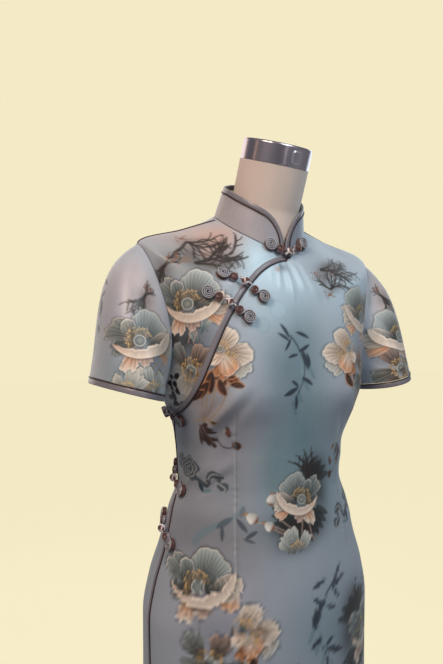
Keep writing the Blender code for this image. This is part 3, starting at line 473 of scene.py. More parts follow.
def from_neck(path: Array, distance: float | Array, short: float, count: int) -> Array:
    """The path inset by distance, with its first points spread again from the neck seam down.

    The path is first run on past its start in a straight line, so that the inset one reaches the seam.

    Args:
        path: (phi, level) points, the first count of them along the slanted opening.
        distance: how far it is moved, one number or one for each point.
        short: how far below the neck seam it starts.
        count: points to spread again.

    Returns:
        As many points as the path has.
    """
    more = 14
    ahead = np.arange(more, 0, -1)[:, None] * (path[0] - path[2]) / 2
    distance = np.broadcast_to(np.asarray(distance, float).reshape(-1, 1), (len(path), 1))
    longer = BODY.inset(np.vstack([path[0] + ahead, path]), np.vstack([distance[:1].repeat(more, 0), distance]))
    opening = longer[: more + count]
    top = CUT.neck_level - short
    first = int(np.argmax(opening[:, 1] < top))
    above, below = opening[first - 1], opening[first]
    kept = np.vstack([mixed(above, below, (above[1] - top) / (above[1] - below[1])), opening[first:]])
    along = lengths_along(kept * ROUND)
    at = np.linspace(0, along[-1], count)
    spread = np.stack([np.interp(at, along, kept[:, k]) for k in (0, 1)], 1)
    return np.vstack([spread, longer[more + count :]])


def armhole(turn: Array, side: int, is_front: bool) -> Array:
    """(phi, level) of the armhole's edge, turn going from 0 at the shoulder tip to pi at the armpit."""
    middle, half = (CUT.tip_level + CUT.armpit_level) / 2, (CUT.tip_level - CUT.armpit_level) / 2
    return stacked(side * (SIDE_SEAM + ARMHOLE_REACH[is_front] * np.sin(turn)), middle + half * np.cos(turn))


def side_edge(levels: Array) -> Array:
    """Angle of the front's bound right edge at each level."""
    knots = np.array(SIDE_EDGE)
    return monotone_cubic(knots[:, 1], np.radians(knots[:, 0]), np.minimum(levels, knots[-1, 1]))


def right_back_seam(levels: Array) -> Array:
    """Angle of the seam that joins underlap and back, just outside the front's bound edge."""
    share = smoothstep((CUT.armpit_level - levels) / 0.03)
    return mixed(-SIDE_SEAM, side_edge(levels) - BACK_SEAM_MARGIN, share)


def slit_edge(levels: Array, slit: Point) -> Array:
    """Angle of a slit's bound edge, straight from its top to the hem."""
    drop = np.clip((CUT.slit_level - levels) / (CUT.slit_level - CUT.hem_level), 0, 1)
    return slit[0] + (slit[1] - slit[0]) * drop


def slit_path(slit: Point) -> Array:
    """(phi, level) points down a slit's bound edge."""
    levels = np.linspace(CUT.slit_level - 0.001, CUT.hem_level, 120)
    return stacked(slit_edge(levels, slit), levels)


def side_width(levels: Array, side: int = 1) -> Array:
    """Metres to each radian at a side seam."""
    return np.linalg.norm(BODY.slopes(np.full(levels.shape, side * SIDE_SEAM), levels)[0], axis=1)


def seam_or_slit(sign: int, slit: Point) -> Callable[[Array], Array]:
    """A panel's left edge: half a seam gap off the side seam, then inset from the slit's bound edge."""

    def angle(levels: Array) -> Array:
        """Angle of the edge at each level."""
        width = side_width(levels)
        open_edge = slit_edge(levels, slit) + sign * CUT.panel_line / width
        return np.where(levels > CUT.slit_level, SIDE_SEAM + sign * CUT.seam / 2 / width, open_edge)

    return angle


def outer_edge(side: int, is_front: bool, below: Callable[[Array], Array], rows: Rows, foot: float) -> Array:
    """Neck to armpit by the shoulder seam and armhole, then down the side.

    Args:
        side: -1 on the wearer's right and 1 on the left.
        is_front: whether the piece lies in front of the seams.
        below: gives the edge's angle at levels below the armpit.
        rows: how the points are spread.
        foot: where the edge ends.

    Returns:
        (phi, level) points.
    """
    levels = np.linspace(CUT.neck_level, CUT.tip_level, rows.shoulder + 1)
    half_gap = (CUT.piping_radius + CUT.trim_gap) * (-side if is_front else side)
    seam = stacked(side * SIDE_SEAM + half_gap / side_width(levels, side), levels)
    share = np.linspace(0, 1, rows.armhole + 1)
    hole = armhole(math.pi * share, side, is_front)
    hole[:, 0] += (seam[-1, 0] - hole[0, 0]) * share[::-1] ** 4
    down = rows.levels(CUT.armpit_level, foot)
    low = stacked(below(down), down)
    hole[:, 0] += (low[0, 0] - hole[-1, 0]) * share**4
    return np.vstack([seam, hole[1:], low[1:]])


def front_right_edge(rows: Rows, foot: float) -> Array:
    """The front panel's bound edge: the opening, then the side down to the foot level."""
    levels = rows.levels(OPENING[-1][1], foot)[1:]
    return np.vstack([spaced_curve(OPENING, rows.above + 1), stacked(side_edge(levels), levels)])


def hem_path(right: Array, left: Array, step: float = 0.005) -> Array:
    """A bound path down the right edge, round the hem and up the left slit, clear of the two corners.

    Args:
        right: (phi, level) points down the right edge.
        left: the same down the left slit.
        step: between the points of the hem.

    Returns:
        (phi, level) points.
    """
    clear = 1.2 * CUT.panel_line
    right, left = (edge[edge[:, 1] > CUT.hem_level + clear] for edge in (right, left))
    length = abs(left[-1, 0] - right[-1, 0]) * 0.95 * CUT.girth_radius
    margin = clear / length
    share = np.concatenate([[0], np.linspace(margin, 1 - margin, max(4, int(length / step))), [1]])
    return np.vstack([right, stacked(mixed(right[-1, 0], left[-1, 0], share), CUT.hem_level), left[::-1]])


# ------------------------------------------------------------------ meshes
def numbers(items: object, key: str, width: int, kind: type = np.float32) -> Array:
    """One attribute of a mesh's items, as rows of that width.

    Args:
        items: its vertices, loops or triangles.
        key: the attribute.
        width: numbers to a row.
        kind: of number.

    Returns:
        The rows.
    """
    found = np.empty(len(items) * width, kind)
    items.foreach_get(key, found)
    return found.reshape(-1, width)


def triangles(mesh: Mesh) -> Array:
    """Vertex indices of the mesh's triangles."""
    mesh.calc_loop_triangles()
    return numbers(mesh.loop_triangles, "vertices", 3, np.int32)


def link(name: str, data: object) -> Object:
    """A new object in the scene."""
    obj = bpy.data.objects.new(name, data)
    bpy.context.scene.collection.objects.link(obj)
    return obj


def solid(name: str, points: Array, faces: list[list[int]], sharp: float, uv: Array | None = None) -> Object:
    """A closed mesh that rides on the part's one body, turned outwards.

    It is turned round if the volume inside it, a sum over its triangles, is negative.

    Args:
        name: the piece's name.
        points: its vertices.
        faces: their indices.
        sharp: the angle in degrees past which an edge is sharp.
        uv: one (u, v) for each vertex, in metres along the cloth.

    Returns:
        The new object.
    """
    mesh = bpy.data.meshes.new(name)
    mesh.from_pydata(points, [], faces)
    mesh.shade_smooth()
    mesh.set_sharp_from_angle(angle=math.radians(sharp))
    if uv is not None:
        corners = numbers(mesh.loops, "vertex_index", 1, np.int32)[:, 0]
        mesh.uv_layers.new(name="Cloth").data.foreach_set("uv", uv[corners].astype(np.float32).ravel())
    a, b, c = numbers(mesh.vertices, "co", 3)[triangles(mesh)].transpose(1, 0, 2).astype(float)
    if (a * np.cross(b, c)).sum() < 0:
        mesh.flip_normals()
    obj = link(name, mesh)
    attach(obj, "root")
    return obj


def paint(mesh: Mesh, colours: Array) -> None:
    """Writes one linear RGB for each vertex as the colour attribute that the finishes read."""
    rgba = np.ones((len(mesh.vertices), 4), np.float32)
    rgba[:, :3] = colours
    # the attribute holds the print, and on the collar, frogs and cap painted light and shade as well
    mesh.color_attributes.new("PrintAndPaintedLight", "FLOAT_COLOR", "POINT").data.foreach_set("color", rgba.ravel())


def grid_quads(ids: Array, wrap: bool = False) -> Array:
    """Quads of a grid of indices, facing outwards; with wrap the last column joins the first."""
    if wrap:
        ids = np.hstack([ids, ids[:, :1]])
    return np.stack([ids[:-1, :-1], ids[:-1, 1:], ids[1:, 1:], ids[1:, :-1]], -1).reshape(-1, 4)


def picks(count: int, wanted: int, closed: bool = False) -> Array:
    """About wanted indices spread over count places, with both ends, or round a closed ring."""
    if closed:
        return np.unique(np.linspace(0, count, wanted + 1).round().astype(int))[:-1]
    return np.unique(np.linspace(0, count - 1, wanted).round().astype(int))


def border(ids: Sequence[Array]) -> Array:
    """Indices round the border of stacked grids, anticlockwise as seen from outside."""
    right = np.concatenate([block[:, -1] for block in ids])
    left = np.concatenate([block[:, 0] for block in ids])[::-1]
    return np.concatenate([ids[0][0], right[1:], ids[-1][-1][::-1][1:], left[1:-1]])


def rim(outer: Array, inner: Array, at: Array) -> list[list[int]]:
    """One n-gon for each inner edge: the outer run that starts at its place backwards, then the edge.

    Args:
        outer: indices round the outer border.
        inner: indices round the inner one.
        at: where along the outer border each inner point stands.

    Returns:
        The n-gons.
    """
    closed = np.append(outer, outer[0])
    runs = zip(at, np.append(at[1:], len(outer)), inner.tolist(), np.roll(inner, -1).tolist())
    return [closed[start : end + 1][::-1].tolist() + [a, b] for start, end, a, b in runs]


@dataclass
class Shell:
    """A thin closed wall: a fine outer face, a coarser inner face and a rim between them.

    Args:
        name: the piece's name.
        blocks: grids of parameters of the outer face, from the foot up, each with two columns for
            every one of the block below it.
        place: gives points from a grid of parameters and how far out they are moved.
        inner: about how many rows and columns the inner face has.
        wall: thickness of the cloth.
        wrap: whether the last column joins the first.
    """

    name: str
    blocks: Sequence[Array]
    place: Callable[[Array, float], Array]
    inner: tuple[int, int]
    wall: float = CUT.wall
    wrap: bool = False

    def build(self) -> Object:
        """Makes the object, and keeps the outer points and their area."""
        self.outer = [self.place(block, 0.0) for block in self.blocks]
        rows = picks(sum(map(len, self.blocks)), self.inner[0])
        columns = picks(self.blocks[0].shape[1], self.inner[1], self.wrap)
        inside = self.inner_parameters(rows, columns)
        grids = [*self.outer, self.place(inside, -self.wall)]
        sizes = [grid[..., 0].size for grid in grids]
        counted = np.split(np.arange(sum(sizes)), np.cumsum(sizes)[:-1])
        *ids, inner = (part.reshape(grid.shape[:2]) for part, grid in zip(counted, grids))
        quads = np.vstack([grid_quads(block, self.wrap) for block in ids])
        faces = quads.tolist()
        for low, high in zip(ids, ids[1:]):
            top = high[0]
            faces += np.stack([low[-1][:-1], low[-1][1:], top[2::2], top[1::2], top[:-2:2]], -1).tolist()
        faces += grid_quads(inner, self.wrap)[:, ::-1].tolist() + self.rims(ids, inner, rows, columns)
        points = np.vstack([grid.reshape(-1, 3) for grid in grids])
        a, b, c, d = points[quads.T]
        self.area = float(np.linalg.norm(np.cross(c - a, d - b), axis=1).sum() / 2)
        uv = np.vstack([block[..., :2].reshape(-1, 2) for block in [*self.blocks, inside]]) * ROUND
        return solid(self.name, points, faces, 50, uv)

    def inner_parameters(self, rows: Array, columns: Array) -> Array:
        """The outer grids' parameters at the inner face's rows and columns."""
        found, start = [], 0
        for block in self.blocks:
            scale = (block.shape[1] - 1) // (self.blocks[0].shape[1] - 1)
            here = rows[(rows >= start) & (rows < start + len(block))] - start
            found.append(block[np.ix_(here, columns * scale)])
            start += len(block)
        return np.vstack(found)

    def rims(self, ids: Sequence[Array], inner: Array, rows: Array, columns: Array) -> list[list[int]]:
        """N-gons between the outer border's runs and the inner border's edges.

        Args:
            ids: indices of the outer grids.
            inner: indices of the inner grid.
            rows: the outer rows that the inner ones lie under.
            columns: the same for columns.

        Returns:
            The n-gons.
        """
        if self.wrap:
            count = ids[0].shape[1]
            turned_round = (count - columns[::-1]) % count
            order = np.argsort(turned_round)
            high = np.roll(ids[-1][-1][::-1], 1), inner[-1][::-1][order], turned_round[order]
            return rim(ids[0][0], inner[0], columns) + rim(*high)
        height = sum(map(len, ids)) - 1
        foot, head = ids[0].shape[1] - 1, ids[-1].shape[1] - 1
        top = foot + height + head - (columns * (head // foot))[::-1][1:]
        at = np.concatenate([columns, foot + rows[1:], top, foot + height + head + height - rows[::-1][1:-1]])
        return rim(border(ids), border([inner]), at)


def closed_strip(name: str, lines: Array, uv_width: float, capped: bool = True) -> Object:
    """A closed section carried along a path.

    Args:
        name: the piece's name.
        lines: (points of the section, points of the path, 3).
        uv_width: length round the section.
        capped: whether faces close the two ends; otherwise the last section joins the first.

    Returns:
        The new object.
    """
    section, length = lines.shape[:2]
    ids = np.arange(section * length).reshape(section, length)
    faces = grid_quads(np.vstack([ids, ids[:1]]), not capped).tolist()
    if capped:
        faces += [ids[:, 0].tolist(), ids[::-1, -1].tolist()]
    turn = np.linspace(0, uv_width, section, endpoint=False)[:, None]
    return solid(name, lines.reshape(-1, 3), faces, 55, stacked(lengths_along(lines.mean(0)), turn).reshape(-1, 2))


def cord(name: str, middle: Array, up: Array, closed: bool = False) -> Object:
    """A piping cord: middle + radius * (up * cos + across * sin), across being up crossed with the run.

    Args:
        name: the piece's name.
        middle: (points, 3) middle line.
        up: unit vectors away from the cloth.
        closed: whether its end meets its start.

    Returns:
        The new object.
    """
    run = unit(np.roll(middle, -1, 0) - np.roll(middle, 1, 0) if closed else np.gradient(middle, axis=0))
    across = unit(np.cross(up, run))
    turn = np.linspace(0, math.tau, 8, endpoint=False)[:, None, None]
    lines = middle + CUT.piping_radius * (np.cos(turn) * np.cross(run, across) + np.sin(turn) * across)
    return closed_strip(name, lines, math.tau * CUT.piping_radius, not closed)


def carried(points: Array, matrix: Matrix) -> Array:
    """Points moved by a placement."""
    matrix = np.array(matrix)
    return points @ matrix[:3, :3].T + matrix[:3, 3]


def turned(name: str, profile: Sequence[Point], sides: int, place: Matrix = Matrix.Identity(4)) -> Object:
    """A solid of revolution about +Z.

    Args:
        name: the piece's name.
        profile: (radius, height) pairs down its outer side, from one pole to the other.
        sides: faces round it.
        place: where it stands.

    Returns:
        The new object.
    """
    pairs = np.array(profile)
    turn = np.linspace(0, math.tau, sides, endpoint=False)
    radius, height = pairs[1:-1].T[..., None]
    body = stacked(radius * np.cos(turn), radius * np.sin(turn), height).reshape(-1, 3)
    ids = np.arange(len(body)).reshape(-1, sides)[::-1]
    faces = grid_quads(ids, True).tolist()
    top, foot = ids[-1], ids[0]
    for pole, ends in enumerate(((top, np.roll(top, -1)), (np.roll(foot, -1), foot))):
        faces += np.stack([*ends, np.full(sides, len(body) + pole)], 1).tolist()
    points = np.vstack([body, [[0, 0, pairs[0, 1]], [0, 0, pairs[-1, 1]]]])
    return solid(name, carried(points, place), faces, 35)


# ------------------------------------------------------------------ trim
@dataclass(frozen=True)
class BoundEdge:
    """Binding folded over an edge: a flat strip with a crowned top and a rounded fold."""

    width: float = CUT.binding_width
    crown: float = 0.00014  # of its padded top face
    wall: float = CUT.wall
    proud: float = CUT.binding_proud

    def section(self) -> list[Point]:
        """(distance from the edge, height) points."""
        w, top, foot = self.width, self.proud, -self.wall
        return [
            (0, top - 0.0007),
            (0.00015, top - 0.0003),
            (0.0006, top),
            (0.28 * w, top + 0.8 * self.crown),
            (0.58 * w, top + self.crown),
            (w - 0.0009, top + 0.4 * self.crown),
            (w - 0.0002, top - 0.0002),
            (w, top - 0.0006),
            (w, foot + 0.0003),
            (w - 0.0004, foot),
            (0.5 * w, foot),
            (0.0006, foot),
            (0.00015, foot + 0.0003),
        ]

    def strip(self, name: str, line: Callable, place: Callable, capped: bool = True) -> Object:
        """The binding: each section point follows the line at its own distance from the edge.

        Args:
            name: of the piece that it binds.
            line: gives the parameters of the path at a distance from the edge.
            place: gives points from parameters and a height.
            capped: whether it has two ends.

        Returns:
            The new object.
        """
        lines = np.stack([place(line(distance), height) for distance, height in self.section()])
        return closed_strip(f"{name}_binding_folded", lines, 2 * self.width, capped)


def dress_place(path: Array, lift: float) -> Array:
    """Points of the cloth for (phi, level) pairs."""
    return BODY.cloth(path[..., 0], path[..., 1], lift)


def dress_cord(name: str, path: Array) -> Object:
    """A piping cord along a (phi, level) path."""
    return cord(name, dress_place(path, CUT.piping_proud), BODY.normal(path[:, 0], path[:, 1]))


def trim(name: str, path: Array, opening: int = 0) -> Made:
    """Binding and piping along a path on the dress, its first points from the neck if it has an opening.

    Args:
        name: of the piece that they border.
        path: (phi, level) points of the edge.
        opening: how many of its points lie along the slanted opening.

    Returns:
        The binding and the piping.
    """

    def line(distance: float, short: float = CUT.opening_short) -> Array:
        """The path at that distance from the edge."""
        return from_neck(path, distance, short, opening) if opening else BODY.inset(path, distance)

    piping = dress_cord(f"{name}_piping_cord", line(CUT.piping_line, 3 * CUT.opening_short))
    return {f"{name}_binding": BoundEdge().strip(name, line, dress_place), f"{name}_piping": piping}


# ------------------------------------------------------------------ panels of the dress
@dataclass
class Panel:
    """What the three body panels share."""

    rows: Rows = field(default_factory=Rows)
    foot: float = CUT.hem_level + CUT.panel_line
    sparse_below: float = 0.93  # every second column ends at this level
    inner: tuple[int, int] = (70, 26)

    def cloth(self, name: str, edge_a: Array, edge_b: Array, share: Array) -> Object:
        """The panel, ruled in (phi, level) between two edges that run down, at the given shares.

        Args:
            name: the piece's node.
            edge_a: its first edge.
            edge_b: its last edge.
            share: where its columns lie, 0 on the first edge and 1 on the last.

        Returns:
            The new object.
        """
        grid = mixed(edge_a[::-1, None], edge_b[::-1, None], share[None, :, None])
        low = int((grid[:, 0, 1] < self.sparse_below).sum())
        self.shell = Shell(f"{name}_cloth", [grid[:low, ::2], grid[low:]], dress_place, self.inner)
        return self.shell.build()


@dataclass
class FrontPanel(Panel):
    """Main front, from the left side seam to the bound opening, the right side edge and the hem."""

    node: str = "front_panel"
    columns: int = 210
    crowding: float = 0.44  # how much closer together the columns are beside the opening
    corner_ease: float = 0.001
    flat: Point = (0.52, 1.19)

    def build(self) -> Made:
        """The panel, its binding and its piping."""
        count = self.rows.above + 1
        right = front_right_edge(self.rows, self.foot)
        ease = np.maximum(0, 1 - np.arange(len(right)) / 12) * self.corner_ease
        right = from_neck(right, CUT.panel_line + ease, 0.0, count)
        left = outer_edge(1, True, seam_or_slit(-1, SLIT_FRONT), self.rows, self.foot)
        share = np.linspace(0, 1, self.columns + 1)
        made = {self.node: self.cloth(self.node, right, left, share + self.crowding * share * (share - 1))}
        bound = hem_path(front_right_edge(self.rows, CUT.hem_level), slit_path(SLIT_FRONT))
        return made | trim("front", bound, count)


@dataclass
class BackPanel(Panel):
    """Back in one piece from side to side, open at the slits below."""

    node: str = "back_panel"
    columns: int = 176
    flat: Point = (0.53, 1.25)

    def build(self) -> Made:
        """The panel, its binding and its piping."""
        slit = (math.tau - SLIT_BACK[0], math.tau - SLIT_BACK[1])

        def right_side(levels: Array) -> Array:
            """Angle of the right edge: the seam beside the underlap, then the slit."""
            open_edge = slit_edge(levels, slit) - CUT.panel_line / side_width(levels) - math.tau
            return np.where(levels > CUT.slit_level, right_back_seam(levels), open_edge)

        left = outer_edge(1, False, seam_or_slit(1, SLIT_BACK), self.rows, self.foot)
        right = outer_edge(-1, False, right_side, self.rows, self.foot) + [math.tau, 0]
        made = {self.node: self.cloth(self.node, left, right, np.linspace(0, 1, self.columns + 1))}
        return made | trim("back", hem_path(slit_path(SLIT_BACK), slit_path(slit)))


@dataclass
class Underlap(Panel):
    """Right chest piece that carries on beneath the front panel and down the side opening."""

    node: str = "underlap"
    foot: float = CUT.slit_level + 0.0015
    columns: int = 122
    hidden_columns: int = 10
    reach: float = 0.018  # beneath the front
    rise: float = 0.015  # how far out of the opening it takes to rise to the surface
    drop: float = 0.002
    neck_drop: float = 0.013
    neck_sink: float = 0.0006
    flat: Point = (0.18, 0.78)

    def build(self) -> Made:
        """The panel: ruled from its outer edge to the opening, then on beneath the front, sunk by its depth."""
        keep = self.rows.above + self.rows.bodice + self.rows.hip + 1
        seam_gap = CUT.seam / CUT.girth_radius
        outer = outer_edge(-1, True, lambda levels: right_back_seam(levels) + seam_gap, self.rows, self.foot)[:keep]
        edge = front_right_edge(self.rows, self.foot)[:keep]
        inner = BODY.inset(edge, self.reach, passes=120)
        inner[0, 1] = CUT.neck_level
        out, under = (np.linspace(0, 1, count + 1)[None, :, None] for count in (self.columns, self.hidden_columns))
        shown = mixed(outer[:, None], edge[:, None], out)
        grid = np.hstack([shown, mixed(edge[:, None], inner[:, None], under)[:, 1:]])
        places = dress_place(grid, 0.0)
        gone = np.linalg.norm(places - places[:, self.columns, None], axis=-1)
        gone[:, self.columns :] = 0.0
        hidden = np.concatenate([np.zeros(self.columns), under[0, :, 0]])
        fade = np.clip(1 - np.arange(keep) / 20, 0, 1)[:, None]
        grid[..., 1] -= self.neck_drop * hidden * fade
        depth = (CUT.wall + CUT.layer_gap) * (1 - smoothstep(gone / self.rise))
        depth = depth + self.drop * hidden + self.neck_sink * fade * (hidden > 0)

        def place(parameters: Array, lift: float) -> Array:
            """Points of the cloth, sunk by their own depth."""
            return BODY.cloth(parameters[..., 0], parameters[..., 1], lift - parameters[..., 2])

        full = np.concatenate([grid, depth[..., None]], -1)[::-1]
        self.shell = Shell("underlap_cloth", [full], place, (80, 16))
        return {self.node: self.shell.build()}


def shoulder_piping() -> Made:
    """Dark cord in the two shoulder seams, from the collar to the sleeve."""
    levels = np.linspace(CUT.neck_level - 0.004, CUT.tip_level + 0.004, 80)
    made = {}
    for name, side in (("right", -1), ("left", 1)):
        made[f"shoulder_piping_{name}"] = dress_cord(f"shoulder_cord_{name}", stacked(side * SIDE_SEAM, levels))
    return made


# ------------------------------------------------------------------ sleeves
def edge_cord(name: str, place: Callable, at: Array, closed: bool = False) -> Object:
    """A piping cord along places of a piece's own outer face.

    Args:
        name: the piece's name.
        place: gives points from parameters and a height.
        at: parameters along its line.
        closed: whether its end meets its start.

    Returns:
        The new object.
    """
    up = unit(place(at, 0.002) - place(at, 0.0))
    return cord(name, place(at, CUT.piping_proud), up, closed)


@dataclass
class Sleeve:
    """A short set-in sleeve with a bound cuff; turn is 0 on top and grows over the front.

    Args:
        name: right or left.
        side: -1 on the wearer's right and 1 on the left.
    """

    name: str
    side: int
    cuff: tuple[float, float, float] = (0.209, -0.006, 1.184)
    half_depth: float = 0.08
    half_width: float = 0.046
    tilt: float = math.radians(15)
    arrive: tuple[float, float, float] = (0.25, 0, -0.97)  # its direction at the cuff
    gap: float = 0.0005
    ease: float = 1.1
    crease_radius: float = 0.062
    crease_length: float = 0.13
    rows: int = 130
    columns: int = 340
    flat: Point = (0.4, 0.19)

    def bare(self, turn: Array, along: Array) -> Array:
        """Smooth face: a cubic from the armhole, along 0, to the cuff, along 1."""
        turn, along = matched(turn, along)
        hole = np.where(np.sin(turn)[..., None] >= 0, armhole(turn, 1, True), armhole(-turn, 1, False))
        start = BODY.bare(hole[..., 0], hole[..., 1]) + [self.gap, 0, 0]
        top = (1 + np.cos(turn)) / 2
        leave = unit(np.stack([0.6 + 0.25 * top, -0.6 * np.sin(turn), -0.8 + 0.35 * top], -1))
        across = self.half_width * np.cos(turn)
        oval = [across * math.cos(self.tilt), -self.half_depth * np.sin(turn), across * math.sin(self.tilt)]
        end = np.stack(oval, -1) + self.cuff
        reach = self.ease * np.linalg.norm(end - start, axis=-1, keepdims=True)
        return hermite(along[..., None], start, end, leave * reach, self.arrive * reach) * [self.side, 1, 1]

    def place(self, parameters: Array, lift: float) -> Array:
        """Points of the creased face, moved out by lift, for (turn, along) pairs."""
        turn, along = parameters[..., 0], parameters[..., 1]
        e = 1e-3
        around = self.bare(turn + e, along) - self.bare(turn - e, along)
        down = self.bare(turn, np.minimum(along + e, 1)) - self.bare(turn, np.maximum(along - e, 0))
        relief = relief_of(SLEEVE_CREASES, turn, along, self.crease_radius, self.crease_length, 0)
        out = lift + relief * smoothstep(along / 0.1)
        return self.bare(turn, along) + out[..., None] * self.side * unit(np.cross(around, down))

    def share(self, turn: Array, distance: float) -> Array:
        """How far along each line down the sleeve lies the point that distance above the cuff's edge."""
        share = np.linspace(0, 1, 81)
        lines = self.bare(turn[:, None], share[None, ::-1])
        return 1 - np.array([np.interp(distance, lengths_along(line), share) for line in lines])

    def build(self) -> Made:
        """The sleeve, its binding and its piping."""
        key, turns = f"sleeve_{self.name}", np.linspace(0, math.tau, self.columns, endpoint=False)[:: -self.side]

        def line(distance: float) -> Array:
            """The cuff's line at that distance above its edge."""
            return stacked(turns, self.share(turns, distance))

        share = np.linspace(0, 1, self.rows + 1)[::-1, None]
        grid = stacked(turns, share * self.share(turns, CUT.panel_line))
        self.shell = Shell(f"{key}_cloth", [grid], self.place, (22, 46), wrap=True)
        binding = BoundEdge().strip(key, line, self.place, False)
        piping = edge_cord(f"{key}_piping_cord", self.place, line(CUT.piping_line), True)
        return {key: self.shell.build(), f"{key}_binding": binding, f"{key}_piping": piping}


# ------------------------------------------------------------------ collar
@dataclass
class Collar:
    """Stand collar of plain satin with rounded front corners, in two halves that meet at the centre front."""

    height: float = 0.045
    corner_length: float = 0.04
    corner_height: float = 0.034
    wall: float = 0.0022
    half_gap: float = 0.0016
    seam: float = 0.0008
    rim_half_width: float = 0.058
    rim_y_side: float = -0.0126
    rim_y_front: float = -0.0716
    rim_y_back: float = 0.047
    rise: float = 0.0415
    rise_ahead: float = 0.003
    rows: int = 26
    flat: Point = (0.46, 0.045)
    bow: float = 0.0004  # soft unevenness of its face

    def __post_init__(self) -> None:
        """Measures the neck seam."""
        self.angles = np.linspace(0, math.pi, 361)
        self.lengths = lengths_along(BODY.bare(self.angles, CUT.neck_level))

    def angle(self, length: Array) -> Array:
        """Angle that a length along the neck seam from the centre front reaches."""
        return np.sign(length) * np.interp(np.abs(length), self.lengths, self.angles)

    def place(self, parameters: Array, lift: float) -> Array:
        """Outer face for (length, height) pairs: straight up from the neck seam towards the rim's oval."""
        x, height = parameters[..., 0], parameters[..., 1]
        phi = self.angle(x)
        base = BODY.bare(phi, CUT.neck_level)
        cosine, sine = np.cos(phi), np.sin(phi)
        depth = np.where(cosine >= 0, self.rim_y_side - self.rim_y_front, self.rim_y_back - self.rim_y_side)
        reach = 1 / np.sqrt((cosine / depth) ** 2 + (sine / self.rim_half_width) ** 2)
        top = base[..., 2] + self.rise + self.rise_ahead * cosine
        rise = unit(np.stack([reach * sine, self.rim_y_side - reach * cosine, top], -1) - base)
        step = BODY.step
        around = BODY.bare(phi + step, CUT.neck_level) - BODY.bare(phi - step, CUT.neck_level)
        out = unit(np.cross(unit(around), rise))
        soft = self.bow * np.sin(70 * x + 1.0) * np.sin(90 * height) * np.clip(height / 0.01, 0, 1)
        return base + rise * height[..., None] + out * (lift + soft)[..., None]

    def outline(self, distance: float) -> Array:
        """(length, height) points of the left half's free edge, a quarter oval then a straight run."""
        corner = np.linspace(math.pi, math.pi / 2, 34)
        length, height = self.corner_length, self.corner_height
        across = self.half_gap + length + (length - distance) * np.cos(corner)
        arc = stacked(across, self.height - height + (height - distance) * np.sin(corner))
        run = np.linspace(self.half_gap + length, self.lengths[-1], 90)[1:]
        return np.vstack([arc, stacked(run, self.height - distance)])

    @staticmethod
    def halves(half: Array) -> Array:
        """The right half's points, mirrored, then the left's."""
        return np.vstack([half * [-1, 1], half[-2::-1]])

    def build(self) -> Made:
        """The collar, its binding and its piping."""
        length, top = self.halves(self.outline(CUT.panel_line)).T
        share = np.linspace(0, 1, self.rows + 1)[:, None]
        grid = stacked(length, self.seam + (top - self.seam) * share)[:, ::-1]
        self.shell = Shell("collar_cloth", [grid], self.place, (14, 124), self.wall)

        def line(distance: float, up: float = 0.0) -> Array:
            """The free edge at that distance in, from the neck seam round to the neck seam."""
            foot = stacked(self.half_gap + distance, np.array([self.seam + up, 0.005, 0.009]))
            return self.halves(np.vstack([foot, self.outline(distance)]))

        binding = BoundEdge(wall=self.wall + CUT.binding_proud).strip("collar", line, self.place)
        piping = edge_cord("collar_piping_cord", self.place, line(CUT.piping_line, 0.0008))
        return {"collar": self.shell.build(), "collar_binding": binding, "collar_piping": piping}


# ------------------------------------------------------------------ frog fastenings
class Frog(NamedTuple):
    """Where a knot lies, in degrees and metres of level, and the angles by which its two halves slope."""

    name: str
    phi: float
    level: float
    fall: float
    climb: float


FROGS = table(
    Frog,
    ("collar", 3, CUT.neck_level, 0, 0),
    ("chest_upper", -38.8, 1.34, 26, 15),
    ("chest_lower", -46.6, 1.3015, 26, 17),
    ("armpit", -92, 1.156, 28, -14),
    ("waist", -98, 1.056, 24, 26),
    ("hip", -92.5, 0.989, 26, 28),
)


class Tone(Enum):
    """Colours of the rolled ribbon, linear RGB."""

    MAUVE_GREY = (0.4, 0.36, 0.39)
    PALE_GREY = (0.56, 0.55, 0.59)
    RED_BROWN = (0.085, 0.03, 0.026)
    PEACH = (0.62, 0.36, 0.25)

    def times(self, share: float = 1.0) -> Array:
        """The colour, brighter or darker."""
        return np.array(self.value) * share


class Rest:
    """The cloth made so far, as a search tree that fastenings are laid on."""

    def __init__(self, objects: Sequence[Object]) -> None:
        """Gathers the objects' faces."""
        points = [numbers(obj.data.vertices, "co", 3) for obj in objects]
        first = np.cumsum([0] + [len(part) for part in points])
        faces = [triangles(obj.data) + start for obj, start in zip(objects, first)]
        self.tree = BVHTree.FromPolygons(np.vstack(points).tolist(), np.vstack(faces).tolist())

    def highest(self, spots: Array, origin: Array, out: Array) -> float:
        """How far above the origin, along out, the cloth lies under the highest of the spots.

        Args:
            spots: points well above the cloth.
            origin: where heights are measured from.
            out: the way up.

        Returns:
            The height, or -1 where nothing lies below.
        """
        found = [self.tree.ray_cast(Vector(spot), Vector(-out), 0.04)[0] for spot in spots]
        return max((float((np.array(hit) - origin) @ out) for hit in found if hit is not None), default=-1.0)


